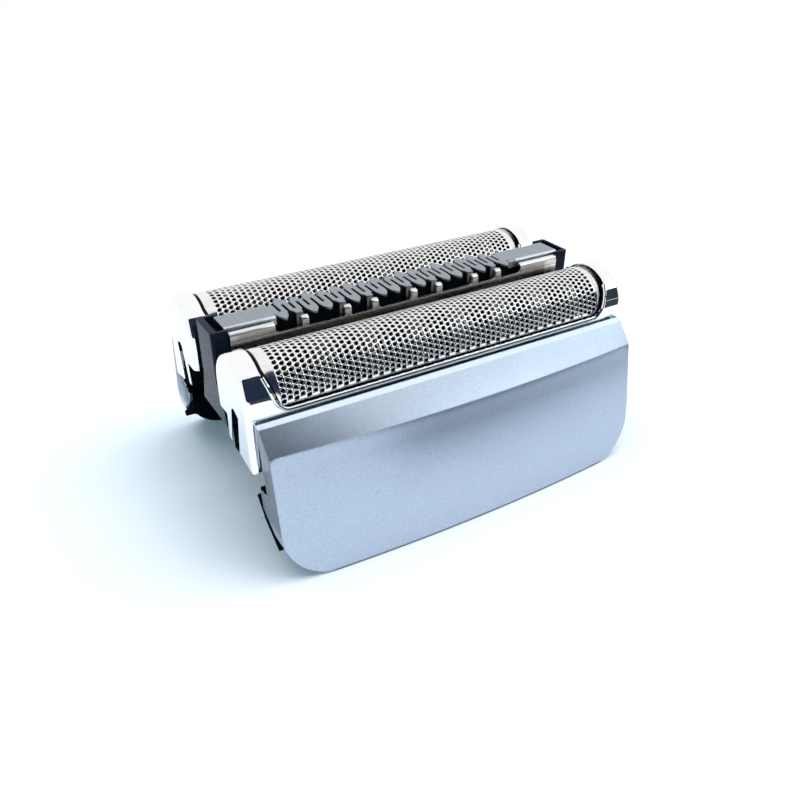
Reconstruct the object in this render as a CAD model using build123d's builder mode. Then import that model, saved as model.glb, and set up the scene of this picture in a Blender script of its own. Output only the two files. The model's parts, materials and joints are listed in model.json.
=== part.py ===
from build123d import *

import os
from math import cos, pi, sin, sqrt

# Foil head of an electric shaver, in millimetres.
# X runs along the foils, -Y is the front, Z is up from the surface that the head stands on.

# Side panels
panel_half_length = 30.0
panel_crease_z = 18.25
panel_crease_y = 19.25
panel_top_z = 21.6
panel_bow = 1.4
panel_flare = 0.165
panel_wall = 1.1
panel_flange = 0.45
panel_rim = 0.5
panel_return_wall = 1.0
panel_return_depth = 3.0
panel_open_foot = 1.0
panel_corner_radius = 7.3
panel_tab_z = 8.3
panel_tab_height = 5.2
panel_tab_depth = 0.7

# Foils
foil_y = 10.15
foil_z = 23.2
foil_radius = 4.9
foil_wall = 0.18
foil_end_gap = 0.5
foil_leg = 4.4
foil_flat_count = 7
hole_pitch = 5.8
hole_radius = 1.0
hole_margin = 2.6

# Foil frames
frame_gap = 0.1
frame_wall = 0.5
cap_overhang = 0.9
cap_wall = 1.1
cap_chamfer = 0.4
cap_length = 3.3
cap_foot_z = 14.6
window_margin = 2.8
window_sill_z = 22.1
window_corner_radius = 3.0
skirt_foot_z = 16.6
slot_width = 2.5
slot_top_z = 20.8
prong_foot_z = 15.3
prong_foot_y = 1.75
prong_root_y = 2.0
prong_cut_z = 19.2
panel_to_frame_gap = 0.2

# Foil holders
holder_wall = 0.6
holder_bottom_z = 16.7
holder_height = 2.0
holder_end_gap = 1.4
holder_bar_z = 20.6
holder_bar_height = 1.1
holder_bar_depth = 1.6
holder_gap = 0.12

# Cutters
blade_gap = 0.2
blade_width = 0.8
blade_thickness = 0.35
blade_pitch = 3.0
blade_flat_count = 6
blade_margin = 1.9
blade_seat = 0.8
carrier_end_gap = 1.2
carrier_top_z = 20.7
carrier_flange = 1.6
carrier_web_step = 2.6
carrier_web_half_width = 2.6
carrier_bottom_z = 16.1
carrier_pocket_wall = 1.0
carrier_core_half_length = 8.0
coupler_half_length = 4.5
coupler_half_width = 3.0
coupler_bottom_z = 11.7
coupler_top_z = 14.5
coupler_post = 1.0
drive_bore_radius = 1.5
drive_bore_depth = 2.2
cutter_spring_half_length = 8.0
cutter_spring_width = 3.0
cutter_spring_wall = 0.3

# Trimmer
trimmer_top_z = 28.2
plate_wall = 0.35
plate_left_gap = 1.76
plate_right_gap = 1.16
plate_half_width = 2.2
plate_flange = 1.2
tooth_pitch = 2.2
tooth_count = 18
first_tooth_x = -19.6
tooth_root_y = 1.4
tooth_root_half_width = 0.9
tooth_shoulder_half_width = 0.75
tooth_shoulder = 0.9
tooth_length = 2.0
blunt_length = 1.05
blunt_half_width = 0.5
blunt_leg = 2.3
slit_width = 0.4
slit_end_y = 1.0
blunt_front_teeth = (1, 4, 6, 9, 11, 14, 16)
blunt_rear_teeth = (1, 3, 6, 8, 11, 13, 16)
channel_half_width = 3.3
channel_wall = 0.4
channel_bottom_z = 20.6
channel_lip = 0.7
channel_roll = 0.45
plate_to_channel_gap = 0.1
strap_width = 1.0
strap_offset = 2.7
strap_steps = (0, 3, 5, 8, 10, 13, 15)
comb_lead = 1.8
comb_tail = 2.7
comb_sill_depth = 1.95
comb_corner = 0.5
drive_slot_length = 12.0
drive_slot_width = 3.0
slider_end_gap = 1.8
slider_half_width = 1.75
slider_bottom_z = 21.4
slider_slot_depth = 3.0
slider_slot_length = 3.2
end_overhang = 0.26
end_length = 2.36
end_gap = 0.1
end_half_width = 3.0
end_wall = 0.4
end_recess_depth = 1.6
end_recess_half_width = 2.45
end_shoulder_z = 20.7
end_foot_z = 14.9
end_foot_half_width = 4.8
end_corner_radius = 0.7
tongue_length = 1.5
tongue_half_width = 1.4

# Travel of the moving pieces
cutter_stroke = 1.0
foil_travel = 2.5
trimmer_travel = 2.0

# Chassis
fit_gap = 0.15
liner_wall = 1.2
liner_top_drop = 1.2
liner_bottom_z = 0.3
bridge_length = 4.0
bridge_to_post_gap = 1.9
bridge_top_z = 12.6
bridge_height = 2.5
arm_height = 1.4
post_length = 1.4
post_to_window_gap = 0.3
post_half_width = 1.3
rib_clearance = 0.25
rib_end_gap = 0.15
rib_top_gap = 0.3
rib_foot_z = 14.5
guide_gap = 0.3
guide_width = 1.2
guide_top_gap = 0.5
clip_half_width = 2.3
clip_depth = 0.85
clip_notch = 1.0
latch_half_length = 6.0
latch_z = 4.6
latch_height = 1.4
latch_depth = 0.9
spring_wall = 0.25
spring_width = 0.8
spring_gap = 0.06

# Values that follow from the sizes above
frame_inner_radius = foil_radius + frame_gap
frame_radius = frame_inner_radius + frame_wall
panel_flange_y = foil_y + frame_radius + panel_to_frame_gap
panel_top_y = panel_flange_y + panel_flange
cap_half_length = panel_half_length + cap_overhang
cap_inner_x = cap_half_length - cap_wall
window_half_length = cap_half_length - window_margin
foil_half_length = cap_inner_x - foil_end_gap
holder_half_length = cap_inner_x - holder_end_gap
foil_flat_angle = pi / foil_flat_count
hole_columns = 1 + int(2 * (window_half_length - hole_margin) / hole_pitch)
foil_inner_radius = foil_radius - foil_wall
holder_inner_y = foil_inner_radius - holder_gap - holder_wall
holder_width = frame_inner_radius - holder_gap - holder_inner_y
blade_radius = foil_radius * cos(foil_flat_angle / 2) - foil_wall - blade_gap
carrier_flange_z = carrier_top_z - carrier_flange
carrier_half_length = holder_half_length - holder_bar_depth - cutter_stroke - carrier_end_gap
carrier_web_half_length = carrier_half_length - carrier_web_step
carrier_pocket_length = carrier_web_half_length - carrier_pocket_wall - carrier_core_half_length
blade_count = 1 + int(2 * (carrier_half_length - blade_margin) / blade_pitch)
plate_bottom_z = trimmer_top_z - plate_wall
channel_top_z = plate_bottom_z - plate_to_channel_gap
channel_inner_y = channel_half_width - channel_wall
end_half_length = panel_half_length + end_overhang
end_inner_x = end_half_length - end_length
recess_wall_x = end_half_length - end_wall
channel_half_length = end_inner_x - end_gap
slider_half_length = channel_half_length - slider_end_gap
plate_left_x = plate_left_gap - recess_wall_x
plate_right_x = recess_wall_x - plate_right_gap
last_tooth_x = first_tooth_x + tooth_pitch * (tooth_count - 1)
post_outer_x = window_half_length - post_to_window_gap
post_inner_x = post_outer_x - post_length
bridge_outer_x = post_inner_x - bridge_to_post_gap
bridge_inner_x = bridge_outer_x - bridge_length
rib_top_z = slot_top_z - foil_travel - rib_top_gap
guide_top_z = channel_bottom_z - trimmer_travel - guide_top_gap
spring_x = (bridge_inner_x + bridge_outer_x) / 2
spring_reach = bridge_length / 2 - spring_wall
reach = 4 * panel_half_length

os.makedirs("parts", exist_ok=True)


def face_y(z):
    """Distance of the panel's lower face from the middle plane, at its ends and at height z."""
    return panel_crease_y + panel_flare * (panel_crease_z - z)


def bow_at(x):
    """How far the panel's face bows outwards at a place along the foils."""
    return panel_bow * (1 - (x / panel_half_length) ** 2)


def curtain(half_length, front_gap, back_gap, top_z, bottom_z, corner_radius):
    """A block that follows the front panel's bowed and flared face, between two distances behind it."""
    front = face_y(top_z) - front_gap
    back = face_y(top_z) - back_gap
    end = front + bow_at(half_length)
    drop = (top_z - bottom_z) * sqrt(1 + panel_flare**2)
    with BuildPart() as block:
        with BuildSketch(Plane.XY.offset(top_z)):
            with BuildLine():
                ThreePointArc((-half_length, -end), (0, -front - panel_bow), (half_length, -end))
                Polyline(
                    (half_length, -end),
                    (half_length, -back),
                    (-half_length, -back),
                    (-half_length, -end),
                )
            make_face()
        extrude(amount=drop, dir=(0, -panel_flare, -1))
        with BuildSketch(Plane.XZ) as outline:
            with Locations((0, (top_z + bottom_z) / 2)):
                Rectangle(2 * half_length, top_z - bottom_z)
            fillet(outline.vertices().group_by(Axis.Y)[0], corner_radius)
        extrude(amount=reach, both=True, mode=Mode.INTERSECT)
    return block.part


def both_ends(x, y, z):
    """The same place at the left and the right end."""
    return [(-x, y, z), (x, y, z)]


def finish(piece, name):
    """Name a finished piece and write it out."""
    piece.part.label = name
    export_step(piece.part, f"parts/{name}.step")


def mirrored(piece, plane):
    """The mirror image of a finished piece."""
    with BuildPart() as image:
        mirror(piece.part, about=plane)
    return image


def finish_pair(piece, name):
    """Write a front piece, and its mirror image behind."""
    finish(piece, f"front_{name}")
    finish(mirrored(piece, Plane.XZ), f"rear_{name}")


# Side panels: a lower face that flares and bows, a sloped band above the crease, and returns all round
panel_pocket = curtain(
    panel_half_length - panel_return_wall,
    panel_wall,
    panel_return_depth + panel_wall,
    panel_crease_z - panel_rim,
    -panel_open_foot,
    panel_corner_radius - panel_return_wall,
)
with BuildPart() as panel:
    add(curtain(panel_half_length, 0, panel_return_depth, panel_crease_z, 0, panel_corner_radius))
    with BuildSketch(Plane.XY.offset(panel_crease_z)):
        with BuildLine():
            ThreePointArc(
                (-panel_half_length, -panel_crease_y),
                (0, -panel_crease_y - panel_bow),
                (panel_half_length, -panel_crease_y),
            )
            Polyline(
                (panel_half_length, -panel_crease_y),
                (panel_half_length, panel_return_depth - panel_crease_y),
                (-panel_half_length, panel_return_depth - panel_crease_y),
                (-panel_half_length, -panel_crease_y),
            )
        make_face()
    with BuildSketch(Plane.XY.offset(panel_top_z)):
        with Locations((0, -panel_flange_y - panel_flange / 2)):
            Rectangle(2 * panel_half_length, panel_flange)
    loft(ruled=True)
    add(panel_pocket, mode=Mode.SUBTRACT)
    tab_y = face_y(panel_tab_z) - panel_return_depth
    with Locations(*both_ends(panel_half_length - panel_return_wall / 2, -tab_y, panel_tab_z)):
        Box(panel_return_wall, 2 * panel_tab_depth, panel_tab_height)
finish_pair(panel, "panel")

# Foil frames: an arched tunnel with a window for the foil, closed by a slotted cap at each end
with BuildPart() as foil_frame:
    with BuildSketch(Plane.YZ):
        with Locations((-foil_y, foil_z)):
            Circle(frame_radius)
        with Locations((-foil_y, (foil_z + cap_foot_z) / 2)):
            Rectangle(2 * frame_radius, foil_z - cap_foot_z)
        with Locations((-foil_y, cap_foot_z - frame_radius)):
            Rectangle(2 * frame_radius, 2 * frame_radius, mode=Mode.SUBTRACT)
    extrude(amount=cap_half_length, both=True)
    end_faces = foil_frame.faces().filter_by(Axis.X)
    chamfer(end_faces.edges().filter_by(lambda edge: edge.center().Z > cap_foot_z), cap_chamfer)
    with BuildSketch(Plane.YZ):
        with Locations((-foil_y, foil_z)):
            Circle(frame_inner_radius)
        with Locations((-foil_y, foil_z - reach / 2)):
            Rectangle(2 * frame_inner_radius, reach)
    extrude(amount=cap_inner_x, both=True, mode=Mode.SUBTRACT)
    with BuildSketch(Plane.XZ):
        with Locations((0, window_sill_z + reach / 2)):
            RectangleRounded(2 * window_half_length, reach, window_corner_radius)
    extrude(amount=reach, both=True, mode=Mode.SUBTRACT)
    with BuildSketch(Plane.XZ):
        with Locations((0, skirt_foot_z - reach / 2)):
            Rectangle(2 * (cap_half_length - cap_length), reach)
    extrude(amount=reach, both=True, mode=Mode.SUBTRACT)
    with BuildSketch(Plane.YZ):
        with BuildLine():
            Polyline(
                (prong_foot_y - foil_y, prong_foot_z),
                (prong_root_y - foil_y, prong_cut_z),
                (frame_radius, prong_cut_z),
                (frame_radius, cap_foot_z - cap_wall),
                (-foil_y, cap_foot_z - cap_wall),
                (-foil_y, prong_foot_z),
                close=True,
            )
        make_face()
        with Locations((-foil_y, slot_top_z - reach / 2)):
            RectangleRounded(slot_width, reach, slot_width / 4)
    extrude(amount=reach, both=True, mode=Mode.SUBTRACT)
finish_pair(foil_frame, "foil_frame")


def arch(radius, flats):
    """Points of an arch over the front foil's axis, as short flats from its inner side to its outer one."""
    angles = [pi * step / flats for step in range(flats + 1)]
    return [(radius * cos(angle) - foil_y, radius * sin(angle) + foil_z) for angle in angles]


# Foils: a thin sheet bent over into an arch of flats, with staggered six-sided holes along each flat
with BuildPart() as foil:
    leg_z = foil_z - foil_leg
    outer_legs = [(-foil_radius - foil_y, leg_z), (-foil_inner_radius - foil_y, leg_z)]
    inner_legs = [(foil_inner_radius - foil_y, leg_z), (foil_radius - foil_y, leg_z)]
    with BuildSketch(Plane.YZ):
        with BuildLine():
            outside = arch(foil_radius, foil_flat_count)
            inside = arch(foil_inner_radius, foil_flat_count)
            Polyline(*outside, *outer_legs, *reversed(inside), *inner_legs, close=True)
        make_face()
    extrude(amount=foil_half_length, both=True)
    for row in range(foil_flat_count):
        angle = foil_flat_angle * (row - (foil_flat_count - 1) / 2)
        outward = (0, sin(angle), cos(angle))
        columns = hole_columns - row % 2
        with BuildSketch(Plane(origin=(0, -foil_y, foil_z), x_dir=(1, 0, 0), z_dir=outward)):
            with GridLocations(hole_pitch, hole_pitch, columns, 1):
                RegularPolygon(hole_radius, 6)
        extrude(amount=2 * foil_radius, mode=Mode.SUBTRACT)
finish_pair(foil, "foil")

# Foil holders: two rails under the foil's edges, joined by a raised bar at each end
with BuildPart() as foil_holder:
    for side in (-1, 1):
        rail_y = -foil_y + side * (holder_inner_y + holder_width / 2)
        with Locations((0, rail_y, holder_bottom_z + holder_height / 2)):
            Box(2 * holder_half_length, holder_width, holder_height)
    bar_x = holder_half_length - holder_bar_depth / 2
    bar_top_z = holder_bar_z + holder_bar_height
    bar_half_width = holder_inner_y + holder_wall
    with Locations(*both_ends(bar_x, -foil_y, holder_bar_z + holder_bar_height / 2)):
        Box(holder_bar_depth, 2 * bar_half_width, holder_bar_height)
    leg_height = bar_top_z - holder_bottom_z
    for side in (-1, 1):
        leg_y = -foil_y + side * (holder_inner_y + holder_wall / 2)
        with Locations(*both_ends(bar_x, leg_y, holder_bottom_z + leg_height / 2)):
            Box(holder_bar_depth, holder_wall, leg_height)
finish_pair(foil_holder, "foil_holder")

# Cutter blades: a row of thin arched lamellae, each drawn as short flats
with BuildPart() as cutter_blades:
    inner_radius = blade_radius - blade_width
    foot_z = carrier_top_z - blade_seat
    outer_arch = arch(blade_radius, blade_flat_count)
    inner_arch = reversed(arch(inner_radius, blade_flat_count))
    left_foot = [(-blade_radius - foil_y, foot_z), (-inner_radius - foil_y, foot_z)]
    right_foot = [(inner_radius - foil_y, foot_z), (blade_radius - foil_y, foot_z)]
    blade_outline = [*outer_arch, *left_foot, *inner_arch, *right_foot]
    for index in range(blade_count):
        blade_x = blade_pitch * (index - (blade_count - 1) / 2) - blade_thickness / 2
        with BuildSketch(Plane.YZ.offset(blade_x)):
            with BuildLine():
                Polyline(*blade_outline, close=True)
            make_face()
        extrude(amount=blade_thickness)
finish_pair(cutter_blades, "cutter_blades")

# Cutter carriers: a flange that the lamellae stand in, on a web with pockets
with BuildPart() as cutter_carrier:
    with Locations((0, -foil_y, carrier_flange_z + carrier_flange / 2)):
        Box(2 * carrier_half_length, 2 * blade_radius, carrier_flange)
    with Locations((0, -foil_y, (carrier_bottom_z + carrier_flange_z) / 2)):
        Box(2 * carrier_web_half_length, 2 * carrier_web_half_width, carrier_flange_z - carrier_bottom_z)
    pocket_x = carrier_web_half_length - carrier_pocket_wall - carrier_pocket_length / 2
    pocket_width = 2 * (carrier_web_half_width - carrier_pocket_wall)
    with BuildSketch(Plane.XY.offset(carrier_bottom_z)):
        with Locations((-pocket_x, -foil_y), (pocket_x, -foil_y)):
            Rectangle(carrier_pocket_length, pocket_width)
    extrude(amount=carrier_flange_z - carrier_bottom_z, mode=Mode.SUBTRACT)
finish_pair(cutter_carrier, "cutter_carrier")

# Drive couplers: a block with a blind socket for the drive pin, hung from the carrier by two posts
with BuildPart() as drive_coupler:
    with Locations((0, -foil_y, (coupler_bottom_z + coupler_top_z) / 2)):
        Box(2 * coupler_half_length, 2 * coupler_half_width, coupler_top_z - coupler_bottom_z)
    chamfer(drive_coupler.edges().group_by(Axis.Z)[0], coupler_post / 2)
    with Locations((0, -foil_y, coupler_bottom_z + drive_bore_depth / 2)):
        Cylinder(drive_bore_radius, drive_bore_depth, mode=Mode.SUBTRACT)
    post_x = coupler_half_length - coupler_post / 2
    for side in (-1, 1):
        post_y = -foil_y + side * (carrier_web_half_width - coupler_post / 2)
        with Locations(*both_ends(post_x, post_y, (coupler_top_z + carrier_bottom_z) / 2)):
            Box(coupler_post, coupler_post, carrier_bottom_z - coupler_top_z)
finish_pair(drive_coupler, "drive_coupler")

# Cutter springs: a bowed leaf between the coupler and the carrier
with BuildPart() as cutter_spring:
    bow_top_z = carrier_bottom_z - spring_gap
    bow_bottom_z = coupler_top_z + spring_gap
    tip_z = bow_top_z - cutter_spring_wall
    tip_x = cutter_spring_half_length
    with BuildSketch(Plane.XZ.offset(foil_y - cutter_spring_width / 2)):
        with BuildLine():
            ThreePointArc((-tip_x, bow_top_z), (0, bow_bottom_z + cutter_spring_wall), (tip_x, bow_top_z))
            Line((tip_x, bow_top_z), (tip_x, tip_z))
            ThreePointArc((tip_x, tip_z), (0, bow_bottom_z), (-tip_x, tip_z))
            Line((-tip_x, tip_z), (-tip_x, bow_top_z))
        make_face()
    extrude(amount=cutter_spring_width)
finish_pair(cutter_spring, "cutter_spring")

# Trimmer channel: a rolled steel channel with windows between straps, alike when turned half round
with BuildPart() as trimmer_channel:
    with BuildSketch(Plane.YZ):
        with BuildLine():
            Polyline(
                (0, channel_bottom_z),
                (channel_half_width, channel_bottom_z),
                (channel_half_width, channel_top_z - channel_roll),
                (channel_half_width - channel_roll, channel_top_z),
                (channel_half_width - channel_lip, channel_top_z),
                (channel_half_width - channel_lip, channel_top_z - channel_wall),
                (channel_inner_y - channel_wall / 2, channel_top_z - channel_wall),
                (channel_inner_y, channel_top_z - channel_roll - channel_wall / 2),
                (channel_inner_y, channel_bottom_z + channel_wall),
                (0, channel_bottom_z + channel_wall),
                close=True,
            )
        make_face()
        mirror(about=Plane.YZ)
    extrude(amount=channel_half_length, both=True)
    straps = [first_tooth_x + strap_offset + tooth_pitch * step for step in strap_steps]
    starts = [first_tooth_x - comb_lead] + [x + strap_width / 2 for x in straps]
    ends = [x - strap_width / 2 for x in straps] + [last_tooth_x + comb_tail]
    sill_z = channel_top_z - comb_sill_depth
    inside = channel_half_width - channel_lip - channel_wall
    front_wall = Plane(origin=(0, -inside, sill_z), x_dir=(1, 0, 0), z_dir=(0, -1, 0))
    rear_wall = Plane(origin=(0, inside, sill_z), x_dir=(-1, 0, 0), z_dir=(0, 1, 0))
    for wall in (front_wall, rear_wall):
        with BuildSketch(wall) as windows:
            for start, end in zip(starts, ends):
                with Locations(((start + end) / 2, 2 * comb_sill_depth)):
                    Rectangle(end - start, 4 * comb_sill_depth)
            chamfer(windows.vertices(), comb_corner)
        extrude(amount=2 * channel_lip, mode=Mode.SUBTRACT)
    with BuildSketch(Plane.XY.offset(channel_bottom_z)):
        SlotOverall(drive_slot_length, drive_slot_width)
    extrude(amount=channel_wall, mode=Mode.SUBTRACT)
finish(trimmer_channel, "trimmer_channel")

# Trimmer cutter plate: a steel sheet slit from both sides into a zig-zag, with pointed and blunt teeth
pointed_tooth = (
    (-tooth_root_half_width, 0),
    (-tooth_shoulder_half_width, -tooth_shoulder),
    (0, -tooth_length),
    (tooth_shoulder_half_width, -tooth_shoulder),
    (tooth_root_half_width, 0),
)
blunt_tooth = (
    (-tooth_root_half_width, 0),
    (-blunt_half_width, -blunt_length / 2),
    (-blunt_half_width, -blunt_length),
    (blunt_half_width, -blunt_length),
    (blunt_half_width, -blunt_length / 2),
    (tooth_root_half_width, 0),
)
front_teeth = [first_tooth_x + tooth_pitch * index for index in range(tooth_count)]
rear_teeth = [x + tooth_pitch / 2 for x in front_teeth[:-1]]
field_start = first_tooth_x - tooth_pitch / 2
field_end = last_tooth_x + tooth_pitch / 2
slit_length = tooth_root_y + tooth_length + slit_end_y
blunt_y = tooth_root_y + blunt_length
with BuildPart() as trimmer_cutter_plate:
    with BuildSketch(Plane.XY.offset(plate_bottom_z)):
        with Locations(((field_start + field_end) / 2, 0)):
            Rectangle(field_end - field_start, 2 * tooth_root_y)
        for teeth, blunt, side in ((front_teeth, blunt_front_teeth, -1), (rear_teeth, blunt_rear_teeth, 1)):
            for index, x in enumerate(teeth):
                outline = blunt_tooth if index in blunt else pointed_tooth
                with Locations((x, side * tooth_root_y)):
                    Polygon(*outline, rotation=90 + 90 * side, align=None)
        with Locations(*[(x, slit_end_y - slit_length / 2) for x in rear_teeth]):
            Rectangle(slit_width, slit_length, mode=Mode.SUBTRACT)
        with Locations(*[(x, slit_length / 2 - slit_end_y) for x in front_teeth]):
            Rectangle(slit_width, slit_length, mode=Mode.SUBTRACT)
    extrude(amount=plate_wall)
    for start, end in ((plate_left_x, field_start), (field_end, plate_right_x)):
        with BuildSketch(Plane.YZ.offset(start)):
            with BuildLine():
                Polyline(
                    (-plate_half_width, trimmer_top_z - plate_flange),
                    (-plate_half_width, trimmer_top_z - plate_wall),
                    (plate_wall - plate_half_width, trimmer_top_z),
                    (plate_half_width - plate_wall, trimmer_top_z),
                    (plate_half_width, trimmer_top_z - plate_wall),
                    (plate_half_width, trimmer_top_z - plate_flange),
                    (plate_half_width - plate_wall, trimmer_top_z - plate_flange),
                    (plate_half_width - plate_wall, plate_bottom_z),
                    (plate_wall - plate_half_width, plate_bottom_z),
                    (plate_wall - plate_half_width, trimmer_top_z - plate_flange),
                    close=True,
                )
            make_face()
        extrude(amount=end - start)
    leg_z = plate_bottom_z - blunt_leg / 2
    leg_y = blunt_y - plate_wall / 2
    front_legs = [(front_teeth[index], -leg_y, leg_z) for index in blunt_front_teeth]
    rear_legs = [(rear_teeth[index], leg_y, leg_z) for index in blunt_rear_teeth]
    with Locations(*front_legs, *rear_legs):
        Box(2 * blunt_half_width, plate_wall, blunt_leg)
finish(trimmer_cutter_plate, "trimmer_cutter_plate")

# Trimmer slider: the bar under the cutter plate, with a slot for the drive pin
with BuildPart() as trimmer_slider:
    slider_height = plate_bottom_z - slider_bottom_z
    with Locations((0, 0, slider_bottom_z + slider_height / 2)):
        Box(2 * slider_half_length, 2 * slider_half_width, slider_height)
    chamfer(trimmer_slider.edges().filter_by(Axis.X).group_by(Axis.Z)[0], slider_half_width / 3)
    with Locations((0, 0, slider_bottom_z + slider_slot_depth / 2)):
        Box(slider_slot_length, 2 * slider_half_width, slider_slot_depth, mode=Mode.SUBTRACT)
finish(trimmer_slider, "trimmer_slider")

# Trimmer ends: black holders that widen at the foot, with a recess for the plate and a guide tongue
with BuildPart() as trimmer_end:
    with BuildSketch(Plane.YZ.offset(-end_half_length)):
        with BuildLine():
            Polyline(
                (-end_foot_half_width, end_foot_z),
                (-end_half_width, end_shoulder_z),
                (-end_half_width, trimmer_top_z),
                (end_half_width, trimmer_top_z),
                (end_half_width, end_shoulder_z),
                (end_foot_half_width, end_foot_z),
                close=True,
            )
        make_face()
    extrude(amount=end_length)
    outer_edges = trimmer_end.faces().sort_by(Axis.X)[0].edges()
    fillet(outer_edges.filter_by(lambda edge: edge.center().Z > end_foot_z), end_corner_radius / 2)
    recess_length = recess_wall_x - end_inner_x
    with Locations((-end_inner_x - recess_length / 2, 0, trimmer_top_z)):
        Box(recess_length, 2 * end_recess_half_width, 2 * end_recess_depth, mode=Mode.SUBTRACT)
    tongue_top_z = channel_bottom_z - end_gap
    with Locations((-end_inner_x + tongue_length / 2, 0, (end_foot_z + tongue_top_z) / 2)):
        Box(tongue_length, 2 * tongue_half_width, tongue_top_z - end_foot_z)
finish(trimmer_end, "trimmer_end_left")
finish(mirrored(trimmer_end, Plane.YZ), "trimmer_end_right")

# Chassis: liners behind both panels, bridges, guide posts with ribs, clips and latch ledges
liner_front = panel_wall + fit_gap
liner_back = liner_front + liner_wall
liner_half_length = panel_half_length - panel_return_wall - fit_gap
liner = curtain(
    liner_half_length,
    liner_front,
    liner_back,
    panel_crease_z - liner_top_drop,
    liner_bottom_z,
    panel_corner_radius - panel_return_wall - fit_gap,
)
with BuildPart() as chassis:
    add(liner)
    latch_y = face_y(latch_z) + bow_at(latch_half_length) - liner_back
    with Locations((0, -latch_y, latch_z)):
        Box(2 * latch_half_length, 2 * latch_depth, latch_height)
    clip_y = face_y(panel_tab_z) - panel_return_depth - panel_tab_depth - clip_depth
    clip_reach = clip_depth + panel_tab_depth + panel_return_depth - liner_front
    clip_reach -= panel_flare * clip_half_width
    with Locations(*both_ends(liner_half_length - liner_wall / 2, -clip_y - clip_reach / 2, panel_tab_z)):
        Box(liner_wall, clip_reach, 2 * clip_half_width)
    with Locations(*both_ends(liner_half_length, -clip_y, panel_tab_z + clip_notch)):
        Box(3 * liner_wall, clip_depth, clip_notch, mode=Mode.SUBTRACT)
    bridge_x = (bridge_inner_x + bridge_outer_x) / 2
    bridge_end_y = face_y(bridge_top_z) + bow_at(bridge_outer_x) - liner_front - liner_wall / 2
    with Locations(*both_ends(bridge_x, -bridge_end_y / 2, bridge_top_z - bridge_height / 2)):
        Box(bridge_length, bridge_end_y, bridge_height)
    arm_length = post_outer_x - bridge_inner_x
    arm_x = post_outer_x - arm_length / 2
    with Locations(*both_ends(arm_x, -foil_y, bridge_top_z - arm_height / 2)):
        Box(arm_length, 2 * post_half_width, arm_height)
    post_x = (post_inner_x + post_outer_x) / 2
    post_bottom_z = bridge_top_z - arm_height
    with Locations(*both_ends(post_x, -foil_y, (post_bottom_z + rib_top_z) / 2)):
        Box(post_length, 2 * post_half_width, rib_top_z - post_bottom_z)
    rib_outer_x = cap_half_length - rib_end_gap
    rib_length = rib_outer_x - post_inner_x
    with Locations(*both_ends(rib_outer_x - rib_length / 2, -foil_y, (rib_foot_z + rib_top_z) / 2)):
        Box(rib_length, slot_width - 2 * rib_clearance, rib_top_z - rib_foot_z)
    guide_y = tongue_half_width + guide_gap + guide_width / 2
    guide_inner_x = end_inner_x - tongue_length
    guide_outer_x = end_inner_x - guide_gap
    guide_bottom_z = bridge_top_z - arm_height
    guide_x = (guide_inner_x + guide_outer_x) / 2
    with Locations(*both_ends(guide_x, -guide_y, (guide_bottom_z + guide_top_z) / 2)):
        Box(guide_outer_x - guide_inner_x, guide_width, guide_top_z - guide_bottom_z)
    base_length = guide_outer_x - bridge_inner_x
    base_half_width = guide_y + guide_width / 2
    base_x = guide_outer_x - base_length / 2
    with Locations(*both_ends(base_x, -base_half_width / 2, bridge_top_z - arm_height / 2)):
        Box(base_length, base_half_width, arm_height)
    mirror(about=Plane.XZ)
finish(chassis, "chassis")


def folded_leaf(x, y, width, bottom_z, top_z, folds):
    """A flat spring folded to and fro between two heights."""
    low = bottom_z + spring_gap
    rise = (top_z - spring_gap - low) / folds
    centre_line = []
    for step in range(folds + 1):
        side = 1 if step % 2 else -1
        centre_line.append((x + side * spring_reach, low + rise * step))
    left_edge = [(turn_x - spring_wall, turn_z) for turn_x, turn_z in centre_line]
    right_edge = [(turn_x + spring_wall, turn_z) for turn_x, turn_z in reversed(centre_line)]
    with BuildPart() as leaf:
        with BuildSketch(Plane.XZ.offset(-y - width / 2)):
            with BuildLine():
                Polyline(*left_edge, *right_edge, close=True)
            make_face()
        extrude(amount=width)
    return leaf.part


# Foil springs: a folded leaf under each end of both holder rails
with BuildPart() as foil_springs:
    for rail in (-1, 1):
        rail_y = -foil_y + rail * (holder_inner_y + holder_width / 2)
        for end in (-1, 1):
            add(folded_leaf(end * spring_x, rail_y, spring_width, bridge_top_z, holder_bottom_z, 2))
finish_pair(foil_springs, "foil_springs")

# Trimmer springs: a taller folded leaf under each end of the channel
with BuildPart() as trimmer_springs:
    for end in (-1, 1):
        add(folded_leaf(end * spring_x, 0, 3 * spring_width, bridge_top_z, channel_bottom_z, 4))
finish(trimmer_springs, "trimmer_springs")
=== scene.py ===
import json
from math import cos, pi, radians, sin, sqrt

import bmesh
import bpy
from bpy.props import FloatProperty, FloatVectorProperty, IntProperty, PointerProperty
from mathutils import Matrix, Vector


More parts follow.
